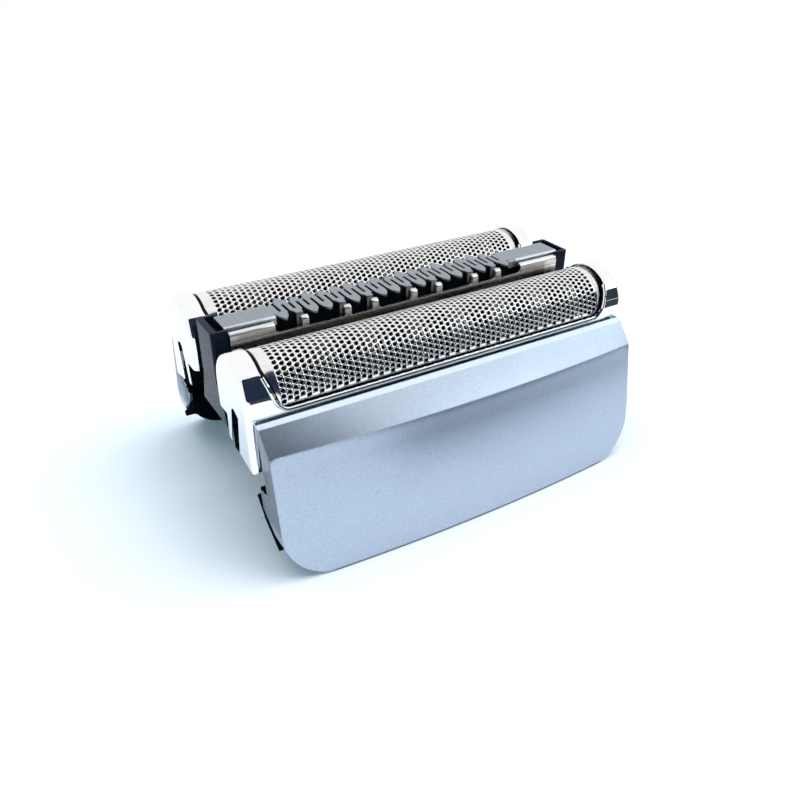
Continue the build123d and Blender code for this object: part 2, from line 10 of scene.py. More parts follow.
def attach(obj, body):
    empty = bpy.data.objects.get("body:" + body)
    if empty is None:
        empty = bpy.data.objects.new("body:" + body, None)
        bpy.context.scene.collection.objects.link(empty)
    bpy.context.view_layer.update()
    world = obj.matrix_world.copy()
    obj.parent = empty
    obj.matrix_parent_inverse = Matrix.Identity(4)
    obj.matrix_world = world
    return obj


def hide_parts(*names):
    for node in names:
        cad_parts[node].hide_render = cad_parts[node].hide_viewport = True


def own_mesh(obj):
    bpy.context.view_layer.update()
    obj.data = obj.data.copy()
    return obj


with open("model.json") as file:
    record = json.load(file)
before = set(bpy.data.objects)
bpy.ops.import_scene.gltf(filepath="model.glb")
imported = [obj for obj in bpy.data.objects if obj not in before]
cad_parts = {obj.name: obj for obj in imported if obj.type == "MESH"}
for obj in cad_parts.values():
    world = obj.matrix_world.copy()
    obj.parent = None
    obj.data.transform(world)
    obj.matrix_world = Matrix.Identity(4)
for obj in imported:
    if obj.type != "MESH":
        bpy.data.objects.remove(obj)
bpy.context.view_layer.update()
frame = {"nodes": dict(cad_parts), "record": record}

bl_info = {
    "name": "Shaver foil head",
    "version": (1, 0, 0),
    "blender": (4, 5, 0),
    "location": "View3D > Sidebar > Foil head",
    "description": "Dresses the packed foil head with panels, foils, trimmer, materials and a studio",
    "category": "Object",
}

MM = 0.001

# Places on the head, in millimetres
FOIL_Y = 10.15
FOIL_Z = 23.2
CREASE_Y = 19.25
CREASE_Z = 18.25
PANEL_TOP_Y = 16.3
PANEL_TOP_Z = 21.6
PANEL_FACE_TOP_Z = PANEL_TOP_Z - 0.1
PANEL_FLANGE = 0.45
FLANGE_Z = 21.1
FLANGE_Y = 16.2
SPRING_SEAT_Z = 12.6
TRIMMER_TOP_Z = 28.2
CHANNEL_TOP_Z = 27.75
CHANNEL_SILL_Z = 26.3
CHANNEL_BOTTOM_Z = 20.6
CHANNEL_HALF_LENGTH = 27.8
CHANNEL_HALF_WIDTH = 3.3

# How a frame's window leans in towards its sill, from the foil's axis
LEAN = 0.31
LEAN_TOP = 4.0
LEAN_LOW = -0.5

# Which of the trimmer's teeth are blunt, and where the straps stand between them
FIRST_TOOTH_X = -19.6
STRAP_OFFSET = 2.7
STRAP_STEPS = (0, 3, 5, 8, 10, 13, 15)
BLUNT_FRONT = (1, 4, 6, 9, 11, 14, 16)
BLUNT_REAR = (1, 3, 6, 8, 11, 13, 16)


def size(name):
    """A size of the head in millimetres."""
    return getattr(bpy.context.scene.foil_head_sizes, name) / MM


def value(name):
    """A count or a slope of the head, as it is."""
    return getattr(bpy.context.scene.foil_head_sizes, name)


def colour(name):
    """A colour of the head, as four numbers."""
    return (*getattr(bpy.context.scene.foil_head_colours, name), 1.0)


def length_property(label, description, millimetres):
    """A length that a user may change."""
    return FloatProperty(name=label, description=description, default=millimetres * MM, min=0.0,
                         unit="LENGTH", precision=5)


def count_property(label, description, default, least):
    """A number of repeats that a user may change."""
    return IntProperty(name=label, description=description, default=default, min=least)


def colour_property(label, description, default):
    """A colour that a user may change."""
    return FloatVectorProperty(name=label, description=description, default=default, subtype="COLOR", min=0.0,
                               max=1.0)


class FoilHeadSizes(bpy.types.PropertyGroup):
    """Sizes of the foil head"""

    panel_half_length: length_property("Panel half length", "From the middle to a panel's end", 30.0)
    panel_bow: length_property("Panel bow", "How far a panel bows out in the middle", 1.4)
    panel_flare: FloatProperty(name="Panel flare", description="Outward lean of a panel below its crease",
                               default=0.165, min=0.0)
    panel_corner: length_property("Panel corner", "Radius of a panel's lower corners", 7.3)
    panel_rim: length_property("Panel rim", "Radius of the rounding round a panel", 0.15)
    panel_wall: length_property("Panel wall", "Thickness of a panel", 0.8)
    panel_return: length_property("Panel return", "Depth of the rim behind a panel's ends", 3.0)
    cap_half_length: length_property("Cap half length", "From the middle to the frame's end face", 30.9)
    cap_rounding: length_property("Cap rounding", "Radius round the frame's end face", 0.4)
    cap_step: length_property("Cap step", "How much lower the frame's end face is than its arch", 0.36)
    frame_radius: length_property("Frame radius", "Outer radius of the frame's arch", 5.38)
    frame_bead: length_property("Frame bead", "Radius of the bead round the window", 0.28)
    frame_wall: length_property("Frame wall", "Thickness of the frame's sheet", 0.22)
    window_half_length: length_property("Window half length", "From the middle to the window's end", 28.1)
    window_corner: length_property("Window corner", "Radius of the window's lower corners", 1.7)
    window_rail: length_property("Window rail", "Width of the leaning rail beside the window", 0.55)
    foil_radius: length_property("Foil radius", "Outer radius of the foil's arch", 4.9)
    foil_half_length: length_property("Foil half length", "From the middle to the foil's end", 28.3)
    foil_wall: length_property("Foil wall", "Thickness of the foil", 0.09)
    foil_leg: length_property("Foil leg", "Straight part of the foil below its arch", 4.4)
    hole_column: length_property("Hole column", "Distance between columns of holes along the foil", 0.87)
    hole_row: length_property("Hole row", "Distance between holes round the arch", 0.75)
    hole_width: length_property("Hole width", "Width of a hole along the foil", 0.71)
    hole_height: length_property("Hole height", "Height of a hole round the arch", 0.59)
    hole_pairs: count_property("Hole columns", "Pairs of columns along the foil", 30, 1)
    hole_rows: count_property("Hole rows", "Holes round the arch", 22, 2)
    blade_pitch: length_property("Blade pitch", "Distance between cutter blades", 1.0)
    blade_count: count_property("Blades", "Blades in each cutter", 46, 2)
    tooth_pitch: length_property("Tooth pitch", "Distance between the trimmer's teeth", 2.2)
    tooth_count: count_property("Front teeth", "Teeth along the trimmer's front", 18, 4)
    slit_width: length_property("Slit width", "Width of the slits between the teeth", 0.42)
    strap_width: length_property("Strap width", "Width of the straps beside the teeth", 1.0)


class FoilHeadColours(bpy.types.PropertyGroup):
    """Colours of the foil head"""

    paint: colour_property("Panel paint", "Silver paint of the side panels", (0.475, 0.545, 0.655))
    chrome: colour_property("Chrome", "Plated foil frames", (0.95, 0.96, 0.97))
    foil: colour_property("Foil steel", "Perforated foils", (0.88, 0.87, 0.86))
    blade: colour_property("Blade steel", "Cutter blades", (0.30, 0.30, 0.30))
    spring: colour_property("Spring steel", "Springs", (0.40, 0.40, 0.42))
    channel: colour_property("Channel steel", "Rolled trimmer channel", (0.82, 0.81, 0.79))
    # Colour of the painted dark reflection on the trimmer channel's lower walls
    painted_reflection: colour_property("Channel stain", "Dark side of the trimmer channel", (0.21, 0.195, 0.175))
    plate: colour_property("Plate steel", "Slit trimmer plate", (0.33, 0.365, 0.40))
    ends: colour_property("End plastic", "Trimmer ends", (0.006, 0.010, 0.022))
    chassis: colour_property("Chassis plastic", "Chassis behind the panels", (0.005, 0.006, 0.007))
    inner: colour_property("Inner plastic", "Foil holders and trimmer slider", (0.010, 0.010, 0.012))
    carrier: colour_property("Carrier plastic", "Cutter carriers and couplers", (0.035, 0.038, 0.045))
    floor: colour_property("Floor", "Paper that the head stands on", (0.90, 0.90, 0.90))


# Materials


def shade(tone, factor):
    """A lighter or darker tone."""
    return (*[min(1.0, channel * factor) for channel in tone[:3]], 1.0)


class Finish:
    """A node material in the making, with its patterns on the piece's own coordinates."""

    def __init__(self, name, metallic=0.0):
        self.material = bpy.data.materials.new(name)
        self.material.use_nodes = True
        self.nodes = self.material.node_tree.nodes
        self.links = self.material.node_tree.links
        self.shader = self.nodes["Principled BSDF"]
        self.shader.inputs["Metallic"].default_value = metallic
        self.place = self.nodes.new("ShaderNodeTexCoord").outputs["Object"]

    def coordinates(self):
        """The piece's own coordinates, one by one."""
        node = self.nodes.new("ShaderNodeSeparateXYZ")
        self.links.new(self.place, node.inputs["Vector"])
        return node.outputs

    def noise(self, stretch, scale, detail=2.0):
        """Noise in features per metre."""
        mapping = self.nodes.new("ShaderNodeMapping")
        mapping.inputs["Scale"].default_value = stretch
        self.links.new(self.place, mapping.inputs["Vector"])
        texture = self.nodes.new("ShaderNodeTexNoise")
        texture.inputs["Scale"].default_value = scale
        texture.inputs["Detail"].default_value = detail
        self.links.new(mapping.outputs["Vector"], texture.inputs["Vector"])
        return texture.outputs["Fac"]

    def math(self, operation, *terms):
        """One sum."""
        node = self.nodes.new("ShaderNodeMath")
        node.operation = operation
        for term, socket in zip(terms, node.inputs):
            self.links.new(term, socket)
        return node.outputs["Value"]

    def between(self, term, low, high, result=(0.0, 1.0)):
        """Maps a range of a term to another range."""
        node = self.nodes.new("ShaderNodeMapRange")
        node.inputs["From Min"].default_value = low
        node.inputs["From Max"].default_value = high
        node.inputs["To Min"].default_value = result[0]
        node.inputs["To Max"].default_value = result[1]
        self.links.new(term, node.inputs["Value"])
        return node.outputs["Result"]

    def share(self, term, low, high):
        """How far a coordinate is between two places in millimetres, from none to all."""
        return self.between(term, low * MM, high * MM)

    def tones(self, pattern, tone, low, high, start=0.3):
        """Darker and lighter tones of a colour, by a pattern."""
        node = self.nodes.new("ShaderNodeValToRGB")
        node.color_ramp.elements[0].position = start
        node.color_ramp.elements[1].position = 0.7
        node.color_ramp.elements[0].color = shade(tone, low)
        node.color_ramp.elements[1].color = shade(tone, high)
        self.links.new(pattern, node.inputs["Fac"])
        return node.outputs["Color"]

    def blend(self, share, first, second):
        """Blends two tones by a share."""
        node = self.nodes.new("ShaderNodeMix")
        node.data_type = "RGBA"
        self.links.new(share, node.inputs["Factor"])
        self.links.new(first, node.inputs["A"])
        self.links.new(second, node.inputs["B"])
        return node.outputs["Result"]

    def colour(self, tones):
        """Gives the surface its tones."""
        self.links.new(tones, self.shader.inputs["Base Color"])

    def roughen(self, pattern, low, high):
        """Spreads the roughness over a range by a pattern."""
        self.links.new(self.between(pattern, 0.3, 0.7, (low, high)), self.shader.inputs["Roughness"])

    def emboss(self, pattern, strength, depth):
        """Raises the surface by a pattern."""
        node = self.nodes.new("ShaderNodeBump")
        node.inputs["Strength"].default_value = strength
        node.inputs["Distance"].default_value = depth * MM
        self.links.new(pattern, node.inputs["Height"])
        self.links.new(node.outputs["Normal"], self.shader.inputs["Normal"])


def metal(name, tone, rough_low, rough_high, stretch, scale, tone_spread):
    """A metal with streaks or smudges in its tone and gloss."""
    finish = Finish(name, 1.0)
    pattern = finish.noise(stretch, scale, 3.0)
    finish.colour(finish.tones(pattern, tone, 1 - tone_spread, 1 + tone_spread))
    finish.roughen(pattern, rough_low, rough_high)
    return finish.material


def plastic(name, tone, rough_low, rough_high, grain, gloss=0.0):
    """A moulded plastic with a fine grain."""
    finish = Finish(name)
    pattern = finish.noise((1, 1, 1), grain)
    finish.colour(finish.tones(pattern, tone, 0.8, 1.25))
    finish.roughen(pattern, rough_low, rough_high)
    finish.shader.inputs["Specular IOR Level"].default_value = gloss
    finish.shader.inputs["Specular Tint"].default_value = (0.80, 0.92, 1.0, 1.0)
    finish.emboss(pattern, 0.15, 0.02)
    return finish.material


def panel_paint():
    """Satin silver paint with fine flakes, with a painted highlight along the flange, painted shade on the
    end returns and a painted contact shadow along the foot.
    """
    finish = Finish("panel_paint", 0.92)
    tone = colour("paint")
    flakes = finish.noise((1, 1, 1), 5200, 1.0)
    body = finish.tones(flakes, tone, 0.90, 1.10)
    # Painted highlight: a lighter copy of the paint along the flange
    flange = finish.tones(flakes, tone, 1.55, 1.75)
    # Painted shade: a darker copy of the paint on the returns at the panel's ends
    ends = finish.tones(flakes, tone, 0.36, 0.44)
    # Painted shadow: a much darker copy of the paint along the panel's foot, where it meets the floor
    foot = finish.tones(flakes, tone, 0.22, 0.28)
    place = finish.coordinates()
    half = size("panel_half_length")
    painted_end_shade = finish.share(finish.math("ABSOLUTE", place["X"]), half - 0.14, half - 0.04)
    above_painted_foot_shadow = finish.share(place["Z"], 0.18, 0.40)
    painted_flange_highlight = finish.share(place["Z"], FLANGE_Z - 0.05, FLANGE_Z + 0.05)
    tones = finish.blend(above_painted_foot_shadow, foot, finish.blend(painted_end_shade, body, ends))
    finish.colour(finish.blend(painted_flange_highlight, tones, flange))
    finish.roughen(finish.noise((1, 1, 1), 260), 0.29, 0.32)
    finish.emboss(flakes, 0.12, 0.01)
    return finish.material


def chrome_plate():
    """Mirror plating with faint smudges."""
    return metal("chrome_plate", colour("chrome"), 0.03, 0.08, (1, 1, 1), 420, 0.03)


def foil_steel():
    """Bright thin steel with rolling lines along the foil, with painted shade in the gap beside its frame and
    along its sill.
    """
    finish = Finish("foil_steel", 1.0)
    tone = colour("foil")
    lines = finish.noise((0.15, 1, 1), 1500, 3.0)
    tones = finish.tones(lines, tone, 0.92, 1.08)
    painted_gap_shade = finish.tones(lines, tone, 0.01, 0.02)
    place = finish.coordinates()
    top, low = (FOIL_Z + LEAN_TOP) * MM, (FOIL_Z + LEAN_LOW) * MM
    lean = finish.between(place["Z"], top, low, (0.0, LEAN * (top - low)))
    edge = size("window_half_length")
    # Painted shade: near-black lines on the foil in the gaps at the window's ends, leaning with the window
    for way, gap in (("SUBTRACT", 0.62), ("ADD", 0.26)):
        reach = finish.math(way, lean, place["X"])
        tones = finish.blend(finish.share(reach, edge - gap, edge - gap + 0.08), tones, painted_gap_shade)
    # Painted shade on the foil below its lowest holes, where it runs down behind the frame's sill
    above_sill = finish.share(place["Z"], FOIL_Z - 0.70, FOIL_Z - 0.62)
    finish.colour(finish.blend(above_sill, painted_gap_shade, tones))
    finish.roughen(lines, 0.12, 0.19)
    return finish.material


def channel_steel():
    """Polished steel with drawing lines along the channel, with a painted dark reflection below its roll and
    a painted highlight along its window sills.
    """
    finish = Finish("trimmer_steel", 1.0)
    tone = colour("channel")
    lines = finish.noise((0.06, 1, 1), 1400, 3.0)
    bright = finish.tones(lines, tone, 0.9, 1.1)
    # Painted dark reflection: the channel's walls below the roll darkened, with streaks, for the shaded foil
    # they face
    dark_reflection_tones = finish.tones(lines, colour("painted_reflection"), 0.3, 2.2, 0.35)
    # Painted highlight: a much lighter copy of the steel along the window sills
    painted_highlight = finish.tones(lines, shade(tone, 1.6), 0.9, 1.0)
    height = finish.coordinates()["Z"]
    on_roll = finish.share(height, CHANNEL_TOP_Z - 2.1, CHANNEL_TOP_Z - 0.9)
    above_rim = finish.share(height, CHANNEL_SILL_Z - 0.20, CHANNEL_SILL_Z - 0.14)
    below_rim = finish.share(height, CHANNEL_SILL_Z + 0.16, CHANNEL_SILL_Z + 0.10)
    rim = finish.math("MULTIPLY", above_rim, below_rim)
    finish.colour(finish.blend(rim, finish.blend(on_roll, dark_reflection_tones, bright), painted_highlight))
    finish.roughen(lines, 0.22, 0.36)
    finish.emboss(lines, 0.15, 0.02)
    return finish.material


def plate_steel():
    """Ground steel with fine lines across the plate and a painted highlight on the folded edges at its ends.
    """
    finish = Finish("plate_steel", 1.0)
    tone = colour("plate")
    lines = finish.noise((1, 0.06, 1), 2600, 3.0)
    ground = finish.tones(lines, tone, 0.9, 1.1)
    # Painted highlight: a lighter copy of the steel on the folded edges at the plate's ends
    painted_highlight = finish.tones(lines, tone, 1.9, 2.1)
    place = finish.coordinates()
    folded = [finish.share(finish.math("ABSOLUTE", place[axis]), edge, edge + 0.08)
              for axis, edge in (("Y", 1.74), ("X", 20.4))]
    finish.colour(finish.blend(finish.math("MULTIPLY", *folded), ground, painted_highlight))
    finish.roughen(lines, 0.32, 0.44)
    finish.emboss(lines, 0.15, 0.02)
    return finish.material


# Shaping


def new_piece(bm, name, body, material, replaced, sharp=30.0):
    """Makes an object of a finished bmesh, rides it on its body and hides the solids that it stands for."""
    bmesh.ops.scale(bm, vec=(MM, MM, MM), verts=bm.verts)
    mesh = bpy.data.meshes.new(name)
    bm.to_mesh(mesh)
    bm.free()
    mesh.shade_smooth()
    mesh.set_sharp_from_angle(angle=radians(sharp))
    mesh.materials.append(material)
    piece = bpy.data.objects.new(name, mesh)
    bpy.context.scene.collection.objects.link(piece)
    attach(piece, body)
    if replaced:
        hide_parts(*replaced)
    return piece


def thicken(piece, wall, even=True):
    """Gives a sheet its wall, on its inner side."""
    modifier = piece.modifiers.new("wall", "SOLIDIFY")
    modifier.thickness = wall * MM
    modifier.offset = -1.0
    modifier.use_even_offset = even
    modifier.use_quality_normals = even
    return modifier


def round_edges(piece, width, segments=3, angle=30.0):
    """Rounds a piece's sharp edges and keeps its flats flat."""
    modifier = piece.modifiers.new("rounding", "BEVEL")
    modifier.width = width * MM
    modifier.segments = segments
    modifier.limit_method = "ANGLE"
    modifier.angle_limit = radians(angle)
    modifier.profile = 0.5
    modifier.use_clamp_overlap = True
    modifier.harden_normals = False
    keep_flats(piece)


def keep_flats(piece):
    """Lets a piece's large faces set its shading."""
    normals = piece.modifiers.new("flats", "WEIGHTED_NORMAL")
    normals.keep_sharp = False
    normals.weight = 80


def face_outwards(bm, inside):
    """Turns a sheet so that its faces look away from a point."""
    bmesh.ops.recalc_face_normals(bm, faces=bm.faces)
    bm.normal_update()
    total = 0.0
    for face in bm.faces:
        total += face.normal.dot(face.calc_center_median() - Vector(inside)) * face.calc_area()
    if total < 0:
        bmesh.ops.reverse_faces(bm, faces=bm.faces)


def mirror_to_rear(bm):
    """Turns a front piece into its mirror image behind."""
    bmesh.ops.scale(bm, vec=(1, -1, 1), verts=bm.verts)
    bmesh.ops.reverse_faces(bm, faces=bm.faces)


def set_on_side(bm, behind):
    """Puts a piece made round the foil's axis in front, or mirrors it to the rear."""
    bmesh.ops.translate(bm, verts=bm.verts, vec=(0, -FOIL_Y, FOIL_Z))
    if behind:
        mirror_to_rear(bm)


def sides():
    """The front and the rear of the head, by name and by whether it lies behind."""
    return (("front", False), ("rear", True))


def held(share):
    """Holds a share between none and all."""
    return min(1.0, max(0.0, share))


def everything(bm):
    """All the geometry of a bmesh."""
    return [*bm.verts, *bm.edges, *bm.faces]


def only(geometry, kind):
    """The vertices, edges or faces among an operator's results."""
    return [item for item in geometry if isinstance(item, kind)]


def edges_where(bm, test):
    """Edges whose two ends pass a test."""
    return [edge for edge in bm.edges if all(test(vert.co) for vert in edge.verts)]


def open_edges(bm, test):
    """Edges along a sheet's openings whose two ends pass a test."""
    return [edge for edge in edges_where(bm, test) if edge.is_boundary]


def extend(bm, vert):
    """Extrudes a vertex and gives the new one."""
    return bmesh.ops.extrude_vert_indiv(bm, verts=[vert])["verts"][0]


def extrude_edges(bm, edges):
    """Extrudes edges and gives the far edges and vertices, which may be extruded again."""
    made = bmesh.ops.extrude_edge_only(bm, edges=edges)["geom"]
    verts = only(made, bmesh.types.BMVert)
    far = [edge for edge in only(made, bmesh.types.BMEdge) if all(vert in verts for vert in edge.verts)]
    return far, verts


def extrude_region(bm, faces):
    """Extrudes faces as one region and gives the new vertices."""
    made = bmesh.ops.extrude_face_region(bm, geom=faces, use_keep_orig=True)["geom"]
    return only(made, bmesh.types.BMVert)


def grow_rim(bm, edges, steps):
    """Grows a sheet's open edges through steps, each given as (out of the sheet, onward along it)."""
    outs, onwards, meets = {}, {}, {}
    bm.normal_update()
    for edge in edges:
        face = edge.link_faces[0]
        ends = [vert.co for vert in edge.verts]
        onward = (ends[1] - ends[0]).cross(face.normal).normalized()
        if onward.dot((ends[0] + ends[1]) / 2 - face.calc_center_median()) < 0:
            onward.negate()
        for vert in edge.verts:
            outs[vert] = outs.get(vert, Vector()) + face.normal
            onwards[vert] = onwards.get(vert, Vector()) + onward
            meets[vert] = meets.get(vert, 0) + 1
    roots = {vert: vert for vert in outs}
    places = {vert: vert.co.copy() for vert in outs}
    rows = []
    for out, onward in steps:
        edges, verts = extrude_edges(bm, edges)
        next_roots = {}
        for vert in verts:
            older = next(edge.other_vert(vert) for edge in vert.link_edges if edge.other_vert(vert) in roots)
            root = roots[older]
            next_roots[vert] = root
            mitre = onwards[root] * meets[root] / onwards[root].length_squared
            vert.co = places[root] + out * outs[root].normalized() + onward * mitre
        roots = next_roots
        rows.append(verts)
    return edges, rows


def sweep_along_x(bm, stations):
    """Sweeps the edges of a profile along X through the given places."""
    edges = list(bm.edges)
    for place in stations:
        edges, verts = extrude_edges(bm, edges)
        for vert in verts:
            vert.co.x = place


def rows_down(bm, vert, heights):
    """Extrudes a vertex to a row of heights."""
    for height in heights:
        vert = extend(bm, vert)
        vert.co.z = height


def cut(bm, faces, point, normal):
    """Cuts faces by a plane and keeps both sides."""
    faces = list(faces)
    edges = {edge for face in faces for edge in face.edges}
    verts = {vert for face in faces for vert in face.verts}
    bmesh.ops.bisect_plane(bm, geom=[*verts, *edges, *faces], dist=1e-5, plane_co=point, plane_no=normal)


def picked(bm, test):
    """Faces whose middle passes a test."""
    return [face for face in bm.faces if test(face.calc_center_median())]


def remove(bm, test):
    """Deletes the faces whose middle passes a test."""
    bmesh.ops.delete(bm, geom=picked(bm, test), context="FACES")


def open_window(bm, on_wall, start, end, sill, corner, steps=5):
    """Opens a window above a sill, with rounded lower corners, in the faces that on_wall picks."""
    for place in (start, end):
        cut(bm, picked(bm, lambda p: on_wall(p) and p.z > sill - 2), (place, 0, 0), (1, 0, 0))
    cut(bm, picked(bm, lambda p: on_wall(p) and start - 1 < p.x < end + 1), (0, 0, sill), (0, 0, 1))
    tangents = []
    for place, way in ((start + corner, -1), (end - corner, 1)):
        middle = Vector((place, 0, sill + corner))
        for step in range(steps):
            angle = (step + 0.5) * pi / 2 / steps
            normal = Vector((way * cos(angle), 0, -sin(angle)))
            tangents.append((middle, normal))

            def in_corner(p):
                beside = start < p.x < end and way * (p.x - place) > 0
                return on_wall(p) and beside and sill < p.z < sill + corner

            cut(bm, picked(bm, in_corner), middle + corner * normal, normal)

    def in_window(p):
        if not (on_wall(p) and start < p.x < end and p.z > sill):
            return False
        flat = Vector((p.x, 0, p.z))
        return all((flat - middle).dot(normal) < corner for middle, normal in tangents)

    remove(bm, in_window)


# Side panels


def panel_half_width(height):
    """Half the width of a panel's flat face at a height, narrower in its rounded lower corners."""
    rim = size("panel_rim")
    radius, half = size("panel_corner") - rim, size("panel_half_length") - rim
    drop = rim + radius - height
    if drop <= 0:
        return half
    return half - radius + sqrt(max(0.0, radius**2 - drop**2))


def panel_place(x, height):
    """Where the painted face is at a place along the head and a height."""
    bow = size("panel_bow") * (1 - (x / size("panel_half_length")) ** 2)
    if height <= CREASE_Z:
        return -(CREASE_Y + value("panel_flare") * (CREASE_Z - height) + bow)
    share = (min(height, FLANGE_Z) - CREASE_Z) / (PANEL_TOP_Z - CREASE_Z)
    band = (CREASE_Y + bow) * (1 - share) + PANEL_TOP_Y * share
    if height <= FLANGE_Z:
        return -band
    rise = (height - FLANGE_Z) / (PANEL_FACE_TOP_Z - FLANGE_Z)
    return -(band * (1 - rise) + FLANGE_Y * rise)


def panel_sheet():
    """A panel's painted face with its rounded rim and the returns behind its ends, as a sheet."""
    tab_low, tab_high, tab_depth = 5.6, 11.0, 2.4
    lip_inward, lip_drop = 0.06, 0.4
    fade_foot, fade_height = 0.8, 5.2
    rim = size("panel_rim")
    radius = size("panel_corner") - rim
    heights = [rim + radius * (1 - cos(pi / 2 * step / 14)) for step in range(13)]
    heights += [8.3, 10.9, 13.0, 15.5, 17.4, CREASE_Z, 18.35, 20.0]
    heights += [FLANGE_Z - 0.04, FLANGE_Z, FLANGE_Z + 0.04, PANEL_FACE_TOP_Z]
    rows, columns = len(heights) - 1, 56
    bm = bmesh.new()
    bmesh.ops.create_grid(bm, x_segments=columns, y_segments=rows, size=1.0)
    for vert in bm.verts:
        height = heights[round((vert.co.y + 1) / 2 * rows)]
        x = vert.co.x * panel_half_width(height)
        vert.co = (x, panel_place(x, height), height)
    crease = edges_where(bm, lambda p: abs(p.z - CREASE_Z) < 1e-4)
    bmesh.ops.bevel(bm, geom=crease, offset=0.1, segments=2, profile=0.5, affect="EDGES", material=-1)
    face_outwards(bm, (0, -FOIL_Y, 10))
    around = [edge for edge in bm.edges if edge.is_boundary]
    turns = [radians(90 * step / 5) for step in range(1, 6)]
    edges = grow_rim(bm, around, [(rim * (cos(turn) - 1), rim * sin(turn)) for turn in turns])[0]
    edges, verts = extrude_edges(bm, edges)
    depth = size("panel_return")
    lips = []
    for vert in verts:
        if vert.co.z > PANEL_TOP_Z - 0.3 and abs(vert.co.x) < size("panel_half_length") - 0.2:
            vert.co.y += lip_inward
            lips.append(vert)
            continue
        share = held((vert.co.z - CREASE_Z) / (PANEL_TOP_Z - CREASE_Z))
        fade = held((vert.co.z - fade_foot) / fade_height)
        vert.co.y += (depth * (1 - share) + PANEL_FLANGE * share - rim) * fade
    lip_edges = [edge for edge in edges if all(vert in lips for vert in edge.verts)]
    bmesh.ops.translate(bm, verts=extrude_edges(bm, lip_edges)[1], vec=(0, 0, -lip_drop))
    tabs = [edge for edge in edges if all(tab_low < v.co.z < tab_high for v in edge.verts)]
    for vert in extrude_edges(bm, tabs)[1]:
        vert.co.y += tab_depth * min(1.0, (vert.co.z - tab_low + 0.1) / 2.6)
    bmesh.ops.remove_doubles(bm, verts=bm.verts, dist=1e-4)
    return bm


class FOILHEAD_OT_panels(bpy.types.Operator):
    """Makes the painted side panels"""

    bl_idname = "foil_head.panels"
    bl_label = "Side panels"

    def execute(self, context):
        material = panel_paint()
        for side, behind in sides():
            bm = panel_sheet()
            if behind:
                mirror_to_rear(bm)
            piece = new_piece(bm, f"{side}_panel_shell", "housing", material,
                              [f"{side}_panel"])
            thicken(piece, size("panel_wall"), even=False)
            keep_flats(piece)
        return {"FINISHED"}


# Foil frames


def below(line, p):
    """Whether a point is below a line, given by two points across and up, from left to right."""
    (y0, z0), (y1, z1) = line
    return (p.z - z0) * (y1 - y0) < (z1 - z0) * (p.y - y0)


def cut_line(bm, faces, line):
    """Cuts faces along a line across and up."""
    (y0, z0), (y1, z1) = line
    cut(bm, faces, (0, y0, z0), (0, z0 - z1, y1 - y0))


def window_lean(height):
    """How far the window's ends lean in at a height above the foil's axis."""
    return LEAN * min(LEAN_TOP - LEAN_LOW, max(0.0, LEAN_TOP - height))


